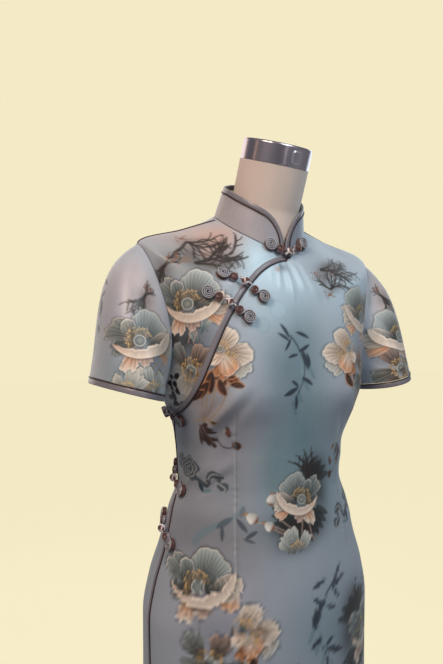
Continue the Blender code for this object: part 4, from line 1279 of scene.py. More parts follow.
@dataclass
class FrogFastening:
    """Two rolled ribbon halves on either side of the opening, and the ball knot between them."""

    frog: Frog
    collar: Collar
    cloth: Rest
    big_coil: float = 0.0096
    small_coil: float = 0.0068
    big_at: float = 0.0305
    small_at: float = 0.0155
    ribbon: float = 0.0019
    turn_gap: float = 0.0005
    height: float = 0.0064
    knot_radius: float = 0.0055
    knot_half: float = 0.0094
    lift: float = 0.0004
    collar_height: float = 0.0026

    def coil_path(self) -> tuple[Array, Array]:
        """Middle line of one half, flat in XY, and how far along it each point is, 0 to 1.

        Two spirals, reach = radius - pitch * turns, wound the same way round, joined by a straight run.
        """
        big, small = self.big_coil - self.ribbon / 2, self.small_coil - self.ribbon / 2
        pitch, apart = self.ribbon + self.turn_gap, self.big_at - self.small_at
        leave = math.asin(min(1.0, (big + small) / apart)) - math.pi / 2
        rolls = []
        for radius, centre, start in ((big, 0.0, leave), (small, apart, leave + math.pi)):
            turns = (radius - 0.001) / pitch
            angle = np.linspace(0, turns * math.tau, math.ceil(turns * 22) + 1)
            reach = radius - pitch * angle / math.tau
            rolls.append(stacked(centre + reach * np.cos(start - angle), reach * np.sin(start - angle)))
        share = np.concatenate([np.linspace(0, 0.5, len(rolls[0])), np.linspace(0.5, 1, len(rolls[1]))])
        return np.vstack([rolls[0][::-1], rolls[1]]), share

    def half_mesh(self, name: str, origin: Array, axes: Array) -> Object:
        """A rolled ribbon: a tall section with a rounded top carried along the coil's path.

        Args:
            name: the piece's name.
            origin: middle of its big coil.
            axes: along the half, across it and out of the cloth.

        Returns:
            The new object.
        """
        path, share = self.coil_path()
        run = unit(np.gradient(path, axis=0))
        half, tall = self.ribbon / 2, self.height
        flank = [(half, 0.0003), (half, tall * 0.45), (half, tall - 0.0011), (half * 0.66, tall - 0.0003)]
        section = [*flank, (0, tall), *((-across, up) for across, up in flank[::-1]), (0, 0)]
        across, up = np.array(section).T[..., None]
        across = across * (1 + 0.05 * np.sin(share * 170))
        lines = stacked(path[:, 0] - run[:, 1] * across, path[:, 1] + run[:, 0] * across, up)
        lines[..., 2] += 0.00018 * np.sin(share * 90) * (lines[..., 2] > 0.004)
        obj = closed_strip(f"{name}_rolled", origin + lines @ axes, 2 * self.height)
        second = smoothstep((share - 0.47) / 0.08)[:, None]
        crest = mixed(Tone.PALE_GREY.times(0.72), Tone.RED_BROWN.times(2.1), second)
        # painted glint: the small coil's middle turns pale
        crest = mixed(crest, Tone.PALE_GREY.times(), smoothstep((share - 0.95) / 0.03)[:, None])
        colour = np.stack([mixed(Tone.RED_BROWN.times(1.3), Tone.MAUVE_GREY.times(0.7), second)] * len(section))
        # painted shade: darkest just under the rounded top, in the gaps between the turns
        colour[[2, 6]] = Tone.RED_BROWN.times(0.5)
        # painted light and shade on the rounded top: brightest on the crest, darker on its shoulders, one shoulder
        # darker than the other
        colour[3:6] = crest * 0.45, crest, crest * 0.8
        paint(obj.data, colour.reshape(-1, 3))
        return obj

    def knot_mesh(self, name: str, origin: Array, axes: Array) -> Object:
        """A ball of ribbon bands wound over each other, with a short neck at each end.

        The bands lie on an egg: radius * (cos, sin) about the long axis, pushed out where one band
        passes over the next, and narrowed to the necks.
        """
        along = np.linspace(-1, 1, 72)
        turn = np.linspace(0, math.tau, 72, endpoint=False)[:, None]
        ball = np.sqrt(np.clip(1 - (along / 0.62) ** 2, 0, 1)) * self.knot_radius
        core = np.maximum(ball, 0.0017 * np.sqrt(np.clip(1 - np.abs(along) ** 8, 0, 1)) + 0.0002)
        band_a, band_b = np.cos(2 * turn + 5.2 * along), np.cos(2 * turn - 5.2 * along + 1.0)
        over = np.maximum(band_a, band_b)
        swell = 0.0009 * (over - 0.35) * smoothstep((0.66 - np.abs(along)) / 0.18)
        reach = core + swell - 0.0004 * (core > 0.002)
        lines = stacked(along * self.knot_half, reach * np.cos(turn), self.knot_radius + reach * np.sin(turn))
        obj = closed_strip(f"{name}_wound", origin + lines @ axes, math.tau * self.knot_radius)
        band = np.where((band_a >= band_b)[..., None], Tone.MAUVE_GREY.times(1.25), Tone.PEACH.times(0.5))
        # painted shade: dark in the hollows where one band passes under the other
        band = mixed(band, Tone.RED_BROWN.times(), smoothstep((0.5 - over) / 0.22)[..., None])
        # painted highlight on the crests of the bands
        painted_highlight = 0.8 * smoothstep((over - 0.88) / 0.08)[..., None]
        paint(obj.data, mixed(band, Tone.PALE_GREY.times(1.3), painted_highlight).reshape(-1, 3))
        return obj

    def spot(self, axis: Array, distance: float) -> tuple[Array, Array]:
        """Point on the cloth that far along the axis from the knot, and the way out of the cloth.

        Args:
            axis: direction to go in.
            distance: how far.

        Returns:
            The point and a unit vector.
        """
        at, steps = np.array([[math.radians(self.frog.phi), self.frog.level]]), 8
        if self.frog.name != "collar":
            for _ in range(steps):
                normal = BODY.normal(at[:, 0], at[:, 1])
                heading = unit(axis - (axis * normal).sum(1, keepdims=True) * normal)
                at = at + BODY.metric_step(at, heading * distance / steps)
                at[:, 1] = np.minimum(at[:, 1], CUT.neck_level)
            return BODY.cloth(*at[0]), BODY.normal(at[:, 0], at[:, 1])[0]
        collar, step, height = self.collar, BODY.step, self.collar_height
        length = np.interp(at[0, 0], collar.angles, collar.lengths) + np.sign(axis[0]) * distance
        out = BODY.normal(collar.angle(length), CUT.neck_level - 0.004)
        ends = [(-step, 0), (step, 0), (0, -step), (0, step), (0, 0)]
        left, right, low, high, middle = collar.place(np.array(ends) + [length, height], 0.0)
        return middle, unit(unit(np.cross(right - left, high - low)) + 0.6 * out)

    def resting_place(self, origin: Array, axes: Array, discs: Sequence[Point]) -> Array:
        """The origin, moved out of a flat piece's plane until its (place, radius) discs clear the cloth.

        Args:
            origin: middle of the piece.
            axes: of the piece, the third out of the cloth.
            discs: what it rests on.

        Returns:
            The new place of the origin.
        """
        angle = np.linspace(0, math.tau, 16, endpoint=False)
        highest = -1.0
        for x, radius in discs:
            for share in (0.0, 0.35, 0.7, 1.0):
                reach = share * (radius + 0.0005)
                spots = stacked(x + reach * np.cos(angle), reach * np.sin(angle), 0.02)
                highest = max(highest, self.cloth.highest(origin + spots @ axes, origin, axes[2]))
        return origin + (highest + self.lift) * axes[2]

    def build(self) -> Made:
        """The loop half, the knot half and the knot, laid on the cloth."""
        phi, level = np.array([math.radians(self.frog.phi)]), np.array([self.frog.level])
        across = unit(BODY.slopes(phi, level)[0])[0]
        upward = np.cross(BODY.normal(phi, level)[0], across)
        made, name = {}, f"frog_{self.frog.name}"
        for half, sense, tilt in (("loop", -1, self.frog.climb), ("knot", 1, self.frog.fall)):
            axis = across * math.cos(math.radians(tilt)) - upward * math.sin(math.radians(tilt))
            middle = (self.small_at + self.big_at) / 2
            near, far, (_, out) = (self.spot(sense * axis, at) for at in (self.small_at, self.big_at, middle))
            along = unit(near[0] - far[0])
            out = unit(out - (out @ along) * along)
            axes = np.stack([along, np.cross(out, along), out])
            discs = ((0.0, self.big_coil), (self.big_at - self.small_at, self.small_coil))
            place = self.resting_place(far[0], axes, discs)
            made[f"{name}_{half}"] = self.half_mesh(f"{name}_{half}", place, axes)
        centre, normal = self.spot(axis, 0.0)
        axis = unit(axis - (axis @ normal) * normal)
        axes = np.stack([axis, np.cross(normal, axis), normal])
        place = self.resting_place(centre, axes, [(x, 0.002) for x in np.linspace(-0.008, 0.008, 9)])
        made[f"{name}_ball"] = self.knot_mesh(f"{name}_ball", place, axes)
        return made


# ------------------------------------------------------------------ dress form and stand
STEEL = np.array([0.46, 0.4, 0.44])
FORM_INSETS = (  # (level, how far the form lies inside the dress)
    *((0.802, 0.055), (0.804, 0.04), (0.815, 0.025), (0.84, 0.015), (0.88, 0.009), (0.965, 0.006)),
    *((1.01, 0.006), (1.04, 0.007), (1.07, 0.007), (1.1, 0.007), (1.135, 0.0065), (1.165, 0.0065)),
    *((1.19, 0.006), (1.23, 0.0058), (1.27, 0.0058), (1.305, 0.008), (1.33, 0.011), (1.35, 0.0095)),
    *((1.375, 0.007), (1.4, 0.0065), (1.415, 0.0072), (1.4298, 0.0075)),
)


@dataclass
class DressForm:
    """Limbless padded figure in cream jersey, and the steel cap on its neck."""

    neck: tuple[float, float, float] = (0.0026, -0.0375, 1.503)
    lean: float = math.radians(19)
    sway: float = math.radians(3)
    neck_radius: float = 0.05
    neck_length: float = 0.06
    cap_radius: float = 0.0496
    cap_height: float = 0.029
    cap_edge: float = 0.003
    cap_crown: float = 0.0012
    sides: int = 120
    plate_turn: float = math.radians(5)
    plate_half_width: float = 0.0068
    plate_half_height: float = 0.0084
    plate_corner: float = 0.003
    plate_proud: float = 0.001

    def neck_frame(self, along: float) -> Matrix:
        """Placement on the neck's leaning axis, that far above its top."""
        lean = Matrix.Rotation(self.sway, 4, "Y") @ Matrix.Rotation(self.lean, 4, "X")
        return Matrix.Translation(self.neck) @ lean @ Matrix.Translation((0, 0, along))

    def torso(self) -> Object:
        """The figure: the dress's own surface moved inwards, ring by ring, then a blend to the round neck."""
        phi = np.linspace(0, math.tau, self.sides, endpoint=False)
        known, insets = np.array(FORM_INSETS).T
        levels = np.unique(np.concatenate([known, np.linspace(0.84, 1.4298, 120)]))
        rings = []
        for level, inset in zip(levels, monotone_cubic(known, insets, levels)):
            normal = BODY.normal(phi, np.full(phi.shape, level)) * [1, 1, level >= 0.86]
            rings.append(BODY.bare(phi, level) - inset * normal)
        circle = self.neck_radius * stacked(np.sin(phi), -np.cos(phi), 0)
        foot, last = carried(circle, self.neck_frame(-self.neck_length)), rings[-1]
        rings += [mixed(last, foot, share) for share in np.linspace(0, 1, 13)[1:]]
        rings += [carried(circle, self.neck_frame(z)) for z in np.linspace(-self.neck_length, 0, 16)[1:]]
        return closed_strip("form_torso_jersey", np.stack(rings, 1), math.tau * CUT.girth_radius)

    def cap(self) -> Object:
        """Spun steel cap with a rounded rim and a shallow blank plate raised on its side.

        The wall is radius(turn, height); the plate adds a smooth step inside a rounded oblong. Painted
        reflections streak its tone round the wall, and a painted highlight runs round the plate as a white line.
        """
        radius, height, edge, crown = self.cap_radius, self.cap_height, self.cap_edge, self.cap_crown
        corner = np.linspace(0, math.pi / 2, 9)
        inward = np.linspace(0.002, radius - edge, 18)[:-1]
        top = stacked(inward, height + crown * (1 - (inward / radius) ** 2))
        rim = stacked(radius - edge + edge * np.sin(corner), height - edge + edge * np.cos(corner))
        side = stacked(radius, np.linspace(height - edge, 0, 46)[1:])
        foot = stacked(np.linspace(radius - 0.001, 0.002, 5), 0)
        matrix = self.neck_frame(0.0003)
        obj = turned("neck_cap_spun", np.vstack([[0, height + crown], top, rim, side, foot, [0, 0]]), 384, matrix)
        back = np.array(matrix)[:3, :3]
        flat = (numbers(obj.data.vertices, "co", 3) - np.array(matrix)[:3, 3]) @ back
        angle = np.arctan2(flat[:, 0], -flat[:, 1])
        across = np.abs(angle - self.plate_turn) * radius - self.plate_half_width
        up = np.abs(flat[:, 2] - height * 0.47) - self.plate_half_height
        over = np.maximum(stacked(across, up) + self.plate_corner, 0)
        outside = np.linalg.norm(over, axis=1) - self.plate_corner
        on_wall = np.hypot(flat[:, 0], flat[:, 1]) > radius - 1e-5
        raised = smoothstep((0.0003 - outside) / 0.0007) - 0.6 * smoothstep((-0.0016 - outside) / 0.0008)
        flat[:, :2] *= (1 + self.plate_proud * raised * on_wall / radius)[:, None]
        obj.data.vertices.foreach_set("co", carried(flat, matrix).astype(np.float32).ravel())
        # painted highlight: a white line round the raised plate's edge
        line = np.clip(1 - np.abs(outside + 0.0006) / 0.0009, 0, 1) * on_wall
        # painted reflections: lighter and darker streaks round the wall, brightest a little to one side of the front
        painted_reflection = (0.25 * np.sin(7 * angle + 0.8) + 0.35 * bell(angle - 0.35, 0.5)) * on_wall
        paint(obj.data, np.clip(mixed(STEEL * (1.15 + painted_reflection)[:, None], 1.0, line[:, None]), 0, 1))
        return obj

    def build(self) -> Made:
        """The figure and its cap."""
        return {"form_torso": self.torso(), "neck_cap": self.cap()}


@dataclass
class Stand:
    """Round steel base, a pole, and the socket that holds the form."""

    pole_radius: float = 0.014
    base_radius: float = 0.17
    base_height: float = 0.012
    form_foot: float = 0.802
    clearance: float = 0.0003

    def build(self) -> Made:
        """Three turned solids."""
        pole, base, gap = self.pole_radius, self.base_radius, self.clearance
        top, foot = self.form_foot - gap, self.base_height + gap
        outside = [(0.0442, 0), (0.045, 0.0008), (0.045, 0.0072), (0.0442, 0.008), (pole + 0.01, 0.011)]
        outside += [(pole + 0.008, 0.014), (pole + 0.006, 0.0585), (pole + 0.005, 0.06)]
        reach, drop = np.array([(pole + gap, 0), *outside, (pole + gap, 0.06)]).T[..., None]
        turn = np.linspace(0, math.tau, 64, endpoint=False)
        ring = stacked(reach * np.cos(turn), reach * np.sin(turn), top - drop)
        tube = [(0, top), (pole - 0.001, top), *((pole, z) for z in np.linspace(top - 0.001, foot, 24)), (0, foot)]
        flat = [(x, self.base_height) for x in (0, 0.01, 0.03)]
        crown = [(0.034, 0.0118), (0.09, 0.0098), (base - 0.012, 0.0075)]
        corner = np.linspace(0, math.pi / 2, 8)
        rim = stacked(base - 0.004 + 0.004 * np.sin(corner), 0.0028 + 0.004 * np.cos(corner))
        disc = [*flat, *crown, *rim, (base, 0.0006), (base - 0.0006, 0), (0, 0)]
        made = {
            "stand_socket": closed_strip("stand_socket_turned", ring, 0.2, False),
            "stand_pole": turned("stand_pole_tube", tube, 64),
            "stand_base": turned("stand_base_disc", disc, 128),
        }
        for obj in made.values():
            paint(obj.data, STEEL)
        return made


# ------------------------------------------------------------------ printed pattern
def srgb(*display: float) -> Array:
    """Linear RGB of a display colour given from 0 to 255."""
    share = np.array(display) / 255
    return np.where(share <= 0.04045, share / 12.92, ((share + 0.055) / 1.055) ** 2.4)


class Ink:
    """Colours of the print, linear RGB."""

    BASE = srgb(158, 166, 176)
    CREAM = srgb(228, 212, 196)
    WHITE = srgb(236, 228, 218)
    SAGE = srgb(118, 124, 122)
    DEEP_SAGE = srgb(52, 60, 62)
    PALE_SAGE = srgb(182, 184, 178)
    PEACH = srgb(212, 180, 156)
    ORANGE = srgb(184, 122, 78)
    RUST = srgb(132, 78, 54)
    GOLD = srgb(204, 168, 112)
    BROWN = srgb(58, 38, 32)
    UMBER = srgb(46, 36, 32)
    SMOKE = srgb(82, 72, 64)
    INK_BLUE = srgb(40, 52, 62)
    SLATE = srgb(92, 102, 112)
    TEAL = srgb(86, 124, 134)
    PALE_TEAL = srgb(146, 174, 182)
    SKY = srgb(186, 214, 228)
    MAUVE = srgb(166, 156, 166)
    WARM = srgb(204, 174, 160)
    POLLEN = srgb(132, 88, 66)
    NIGHT = srgb(34, 38, 38)


def curve(points: Array, count: int = 18) -> Array:
    """A smooth line through a few points, each coordinate a quadratic or cubic of the length."""
    along, degree = lengths_along(points), min(len(points) - 1, 3)
    at = np.linspace(0, along[-1], count)
    return np.stack([np.polyval(np.polyfit(along, points[:, k], degree), at) for k in (0, 1)], 1)


@dataclass
class Patch:
    """The points of a cloth near one motif, in the motif's own units: u to the right, v up.

    Each drawing method lays one shape over what is there; strength is its cover, 1 for a full one.
    """

    canvas: "Canvas"
    index: Array
    u: Array
    v: Array
    soft: float

    def inside(self, distance: Array) -> Array:
        """Cover from a distance that is positive inside a shape."""
        return np.clip(0.5 + distance / (2 * self.soft), 0, 1)

    def lay(self, cover: Array, ink: Array) -> None:
        """Lays a colour, or one for each point."""
        under = self.canvas.colour[self.index]
        self.canvas.colour[self.index] = mixed(under, ink, np.clip(cover, 0, 1)[:, None])

    def polar(self, u: float, v: float, turn: float = 0.0) -> tuple[Array, Array]:
        """Distance and angle in degrees, from -180 to 180, about a point, from the direction turn.

        Args:
            u: of the point.
            v: of the point.
            turn: in degrees.

        Returns:
            The distances and the angles.
        """
        du, dv = self.u - u, self.v - v
        angle = np.degrees(np.arctan2(dv, du)) - turn
        return np.hypot(du, dv), (angle + 180) % 360 - 180

    def moved(self, u: float, v: float, size: float = 1.0, turn: float = 0.0, flip: bool = False) -> "Patch":
        """The same points in the units of a part that is moved, scaled, turned and maybe mirrored.

        Args:
            u: where its middle is.
            v: the same, upwards.
            size: of its unit.
            turn: in degrees.
            flip: whether it is mirrored.

        Returns:
            The new patch.
        """
        du, dv = self.u - u, self.v - v
        c, s = math.cos(math.radians(turn)), math.sin(math.radians(turn))
        across, along = (du * c + dv * s) / size, (dv * c - du * s) / size
        return Patch(self.canvas, self.index, -across if flip else across, along, self.soft / size)

    def haze(self, u: float, v: float, wide: float, tall: float, ink: Array, strength: float) -> None:
        """A soft smoky cloud."""
        self.lay(bell(self.u - u, wide) * bell(self.v - v, tall) * strength, ink)

    def stroke(self, line: Sequence[float], wide_0: float, wide_1: float, ink: Array, strength: float = 1.0) -> None:
        """A tapering brush line through the places u, v, u, v and so on.

        Args:
            line: the places.
            wide_0: width at its start.
            wide_1: width at its end.
            ink: its colour.
            strength: of its cover.
        """
        points = curve(np.reshape(line, (-1, 2)))
        start, run, before = points[:-1], np.diff(points, axis=0), lengths_along(points)
        length = np.linalg.norm(run, axis=1)
        du, dv = self.u[:, None] - start[:, 0], self.v[:, None] - start[:, 1]
        share = np.clip((du * run[:, 0] + dv * run[:, 1]) / np.maximum(length**2, 1e-9), 0, 1)
        apart = np.hypot(du - share * run[:, 0], dv - share * run[:, 1])
        rows, nearest = np.arange(len(apart)), apart.argmin(1)
        along = (before[nearest] + share[rows, nearest] * length[nearest]) / before[-1]
        self.lay(self.inside(mixed(wide_0, wide_1, along) / 2 - apart[rows, nearest]) * strength, ink)

    def leaf(self, ends: Sequence[float], wide: float, ink: Array, strength: float = 1.0, bend: float = 0.0) -> None:
        """A lens from one end (u, v) to the other, half width = wide/2 * sin(pi s)^0.7, bent to one side.

        Args:
            ends: u and v of its two ends.
            wide: its full width.
            ink: its colour.
            strength: of its cover.
            bend: how far it bows, as a share of its length.
        """
        u, v, run_u, run_v = self.u - ends[0], self.v - ends[1], ends[2] - ends[0], ends[3] - ends[1]
        length = math.hypot(run_u, run_v)
        along = (u * run_u + v * run_v) / length**2
        s = np.clip(along, 0, 1)
        across = (v * run_u - u * run_v) / length - bend * length * 4 * s * (1 - s)
        half = wide / 2 * np.sin(math.pi * s) ** 0.7
        self.lay(self.inside(half - np.abs(across)) * ((along > 0) & (along < 1)) * strength, ink)

    def disc(
        self,
        place: Sequence[float],
        centre: Array,
        edge: Array,
        rim: Array | None = None,
        rim_width: float = 1.0,
        veins: int = 0,
        strength: float = 1.0,
    ) -> None:
        """An oval with a colour that changes outwards, a rim line and radial veins.

        Args:
            place: its middle u and v, half width, half height and turn.
            centre: ink in the middle.
            edge: ink at the edge.
            rim: ink of the line round it.
            rim_width: of that line.
            veins: how many.
            strength: of its cover.
        """
        u, v, wide, tall, turn = place
        part = self.moved(u, v, 1.0, turn)
        q = np.hypot(part.u / wide, part.v / tall)
        reach, held, angle = (q - 1) * min(wide, tall), np.clip(q, 0, 1), np.arctan2(part.v, part.u)
        dark = np.clip(np.sin(veins * angle + 2 * np.sin(3 * angle)), 0, 1) * held * (q < 0.95) * (veins > 0)
        self.lay(self.inside(-reach) * strength, mixed(centre, edge, held[:, None] ** 1.6) * (1 - 0.22 * dark[:, None]))
        if rim is not None:
            self.lay(self.inside(rim_width / 2 - np.abs(reach + rim_width / 2)) * strength, rim)

    def petals(self, seed: float, *rows: tuple) -> None:
        """Petals one over another, each with its own ruffle."""
        for number, row in enumerate(rows):
            Petal(*row).draw(self, seed + number)

    def lip(self, u: float, v: float, start: float, end: float, inner: float, outer: float) -> None:
        """A cupped front petal between two arcs about a point: pointed at its start, widest before its end.

        Args:
            u: of the point.
            v: of the point.
            start: angle where it starts, in degrees.
            end: angle where it ends.
            inner: reach of its inner arc.
            outer: reach of its outer arc.
        """
        reach, angle = self.polar(u, v, start)
        angle = angle % 360
        t = np.clip(angle / (end - start), 0, 1)
        inside = (angle < end - start) * 1.0
        swell = np.sin(math.pi * t**1.25) ** 0.55
        ripple = 0.9 * np.sin(19 * t) + 0.6 * np.sin(43 * t + 1) + 0.4 * np.sin(71 * t)
        high = outer - 1.5 * t + 0.5 * np.sin(9 * t)
        low = high - (outer - inner) * swell + ripple * swell
        q = np.clip((reach - low) / np.maximum(high - low, 1e-6), 0, 1)
        fibre = np.sin(54 * t + 2.5 * q + np.sin(17 * t)) + 0.5 * np.sin(113 * t)
        bright = np.interp(q, (0, 0.1, 0.22, 0.6, 0.86, 0.93, 1), (1, 0.95, 0.4, 0.62, 0.74, 1, 1))
        bright = bright * (1 + 0.08 * fibre * np.sin(math.pi * q))
        halo = np.clip(1 - (reach - high) / 3.5, 0, 1) * (reach > high) * inside
        self.lay(halo * 0.6, Ink.DEEP_SAGE * 0.5)
        deep = np.clip(1 - (low - reach) / 4, 0, 1) * (reach < low) * inside * (reach > low - 4)
        self.lay(deep * 0.5, Ink.DEEP_SAGE * 0.5)
        warm = mixed(Ink.ORANGE * 0.8, Ink.WARM * 0.45, smoothstep(t / 0.35)[:, None])
        colour = np.clip(mixed(warm, Ink.CREAM * 1.03, bright[:, None]), 0, 1)
        self.lay(self.inside(np.minimum(reach - low, high - reach)) * inside, colour)

    def stamens(self, place: Sequence[float], start: float, end: float, count: int, seed: int) -> None:
        """Fine threads, each with a grain of pollen at its end; the place is u, v, inner and outer reach.

        Args:
            place: where they leave from and how far they reach.
            start: angle of the first, in degrees.
            end: angle of the last.
            count: how many.
            seed: of their lengths.
        """
        u, v, inner, outer = place
        reach, angle = self.polar(u, v, start)
        angle, step = angle % 360, (end - start) / count
        k = np.floor(angle / step).astype(int)
        inside = (angle < end - start) & (k >= 0) & (k < count)
        k = np.clip(k, 0, count - 1)
        rng = np.random.default_rng(seed)
        tips = rng.uniform(inner + 0.55 * (outer - inner), outer, count)
        turns = (np.arange(count) + 0.5 + rng.uniform(-0.25, 0.25, count)) * step
        half = rng.uniform(inner, outer, count)
        across = np.radians(np.abs(angle - turns[k])) * reach
        thread = self.inside(0.22 - across) * (reach > inner * 0.8) * (reach < tips[k]) * inside
        self.lay(thread * 0.4, Ink.GOLD * 0.8)
        self.lay(self.inside(0.75 - np.hypot(across, reach - tips[k])) * inside, Ink.GOLD)
        self.lay(self.inside(0.5 - np.hypot(across, reach - half[k])) * inside * 0.8, Ink.GOLD * 0.85)

    def heart(self, wide: float, tall: float, turn: float = 0.0, foot: float = 0.0) -> None:
        """The round seed head of a flower: a green button with a light ring, a cross of lines and a dark foot.

        Args:
            wide: its half width.
            tall: its half height.
            turn: in degrees.
            foot: strength of the dark foot.
        """
        self.disc((0, -0.8, wide * 1.22, tall * 1.22, turn), Ink.BROWN, Ink.BROWN, strength=0.55)
        rim = Ink.PALE_SAGE * 1.05
        self.disc((0, 0, wide, tall, turn), Ink.SAGE * 1.15, Ink.SAGE * 0.72, rim, 0.9, 12)
        rim = Ink.DEEP_SAGE * 1.2
        self.disc((0, 0, wide * 0.72, tall * 0.72, turn), Ink.SAGE * 1.1, Ink.SAGE, rim, 0.6, 10)
        self.disc((0, 0, 0.8, 0.8, 0), Ink.GOLD * 0.8, Ink.GOLD * 0.6)
        part = self.moved(0, 0, 1.0, turn)
        edge = (1 - np.hypot(part.u / wide, part.v / tall)) * tall
        self.lay(self.inside(edge) * smoothstep((-part.v / tall - 0.05) / 0.5) * foot, Ink.BROWN)

    def cup_bud(self, u: float, v: float, turn: float, size: float) -> None:
        """A seed capsule: a pale drop with a brown crown at its tip and brown at its foot.

        Args:
            u: of its middle.
            v: of its middle.
            turn: in degrees.
            size: of its unit.
        """
        part = self.moved(u, v, size, turn)
        along = np.clip((part.v + 6.5) / 13, 0, 1)
        half = 5.4 * np.sin(math.pi * along**0.75) ** 0.75
        light = np.clip(0.75 - 0.09 * part.u, 0.2, 1.1)[:, None] * 0.8
        colour = mixed(mixed(Ink.SAGE, Ink.WHITE, light), Ink.RUST * 0.7, smoothstep((0.4 - along) / 0.35)[:, None])
        self.lay(self.inside((half - np.abs(part.u)) * size) * (np.abs(part.v) < 6.5), colour)
        part.disc((0, 6.8, 2, 1.6, 0), Ink.GOLD * 0.7, Ink.RUST)

    def calyx_bud(self, u: float, v: float, turn: float, size: float = 1.0) -> None:
        """A dark pointed bud with an orange edge."""
        part = self.moved(u, v, size, turn)
        part.leaf((0, -9, 0, 11), 9.6, Ink.ORANGE, 0.9, 0.06)
        part.leaf((0.4, -8.4, 0.4, 10), 7.6, Ink.BROWN * 0.8, 1.0, 0.06)
        part.leaf((-1.6, -6, -0.8, 6), 1.4, Ink.RUST * 0.8, 0.6)

    def stems(self, ends: Sequence[tuple[float, float, float]], u: float, v: float, ink: Array) -> None:
        """Thin curving stems from several tops, each (u, v, bend), down to one foot."""
        for top_u, top_v, bend in ends:
            self.stroke((top_u, top_v, (top_u + u) / 2 + bend, (top_v + v) / 2, u, v), 1.3, 0.7, ink, 0.85)

    def twig(
        self,
        root: Sequence[float],
        turn: float,
        length: float,
        depth: int,
        ink: Array,
        rng: np.random.Generator,
        strength: float,
    ) -> None:
        """A forked frond: a bent stroke with shorter ones leaving it on both sides.

        Args:
            root: its foot, (u, v).
            turn: its direction in degrees.
            length: of the stroke, in units.
            depth: how often it still forks.
            ink: its colour.
            rng: draws the bends and the shorter ones' directions and lengths.
            strength: of its cover.
        """
        turns = np.radians([turn, turn + rng.uniform(-34, 34)])
        knots = np.cumsum([root, *(length / 2 * stacked(np.cos(turns), np.sin(turns)))], 0)
        self.stroke(knots, 1.6 + 0.9 * depth, 1.3, ink, strength)
        for at, side in ((0.35, 1), (0.5, -1), (0.66, 1), (0.8, -1), (0.92, 1)) if depth else ():
            start = [np.interp(at, (0, 0.5, 1), line) for line in knots.T]
            heading, reach = turn + side * rng.uniform(24, 42), length * rng.uniform(0.36, 0.5)
            self.twig(start, heading, reach, depth - 1, ink, rng, strength)

    def pollen(self, u: float, v: float, radius: float, count: int, seed: int) -> None:
        """A cluster of short orange-brown grains.

        Args:
            u: of its middle.
            v: of its middle.
            radius: of the cluster.
            count: of grains.
            seed: of their places.
        """
        rng = np.random.default_rng(seed)
        for angle, reach in zip(rng.uniform(0, math.tau, count), radius * np.sqrt(rng.uniform(0, 1, count))):
            c, s = math.cos(angle), math.sin(angle)
            near_u, near_v = u + reach * c, v + reach * s
            self.leaf((near_u, near_v, near_u + 2.2 * c, near_v + 2.2 * s + 0.6), 1.6, Ink.POLLEN, 0.9)

    def rose(self, u: float, v: float, radius: float, seed: float) -> None:
        """A grey rosette with a few wavering light rings that wind into its middle.

        Args:
            u: of its middle.
            v: of its middle.
            radius: its usual reach.
            seed: of its wavering.
        """
        wide, tall = (self.u - u) / 1.3, self.v - v
        a = np.arctan2(tall, wide)
        wobble = 1 + 0.11 * np.sin(5 * a + seed) + 0.05 * np.sin(9 * a + 2 * seed)
        q = np.hypot(wide, tall) / (radius * wobble)
        self.lay(self.inside((1 - q) * radius) * 0.95, Ink.SLATE * 0.5)
        spiral = np.sin(math.tau * (q * 3.1 - a / math.tau) + 0.8 * np.sin(3 * a + seed))
        self.lay(smoothstep((spiral - 0.66) / 0.22) * (q < 0.97) * (q > 0.12) * 0.8, Ink.PALE_SAGE * 0.9)


class Petal(NamedTuple):
    """A fan shaped petal: its foot, its direction and half spread in degrees, and its reach in units."""

    u: float
    v: float
    turn: float
    spread: float
    reach: float
    inner: Array
    outer: Array
    rim: Array
    ruffle: float = 0.035
    veins: int = 34
    rim_width: float = 1.5
    flat: float = 3.0

    def draw(self, patch: Patch, seed: float) -> None:
        """Reach falls off to the sides as (1 - |t|^flat)^0.5, ruffled, veined, with a pale rim over a shade."""
        reach, angle = patch.polar(self.u, self.v, self.turn)
        t = angle / self.spread
        side = np.clip(1 - np.clip(np.abs(t), 0, 0.97) ** self.flat, 0, 1) ** 0.5
        wave = np.sin(7 * t + seed) + 0.6 * np.sin(15 * t + 2.3 * seed) + 0.3 * np.sin(31 * t + seed)
        limit = self.reach * side * (1 + self.ruffle * wave)
        edge = np.minimum(limit - reach, (1 - np.abs(t)) * reach * math.radians(self.spread))
        halo = np.clip(1 + edge / 3.5, 0, 1) * (edge < 0) * (reach > 0.3 * self.reach)
        patch.lay(halo * 0.65, Ink.DEEP_SAGE * 0.45)
        q = np.clip(reach / np.maximum(limit, 1e-6), 0, 1)
        fibre = np.sin(self.veins * t + 1.6 * np.sin(4 * t + seed) + seed)
        fibre = fibre + 0.5 * np.sin(1.7 * self.veins * t + 2 * seed)
        light = 1 + 0.3 * fibre * np.sin(math.pi * q) ** 0.7
        fold = 1 - 0.3 * np.clip(np.abs(t), 0, 1) ** 3
        cover = patch.inside(edge) * (np.abs(t) < 1.05)
        patch.lay(cover, np.clip(mixed(self.inner, self.outer, q[:, None] ** 2.1) * (light * fold)[:, None], 0, 1))
        rim = np.clip(1.15 - edge / self.rim_width, 0, 1) * cover * smoothstep(reach / self.reach * 2 - 0.9)
        patch.lay(rim * (0.65 + 0.12 * wave), self.rim)


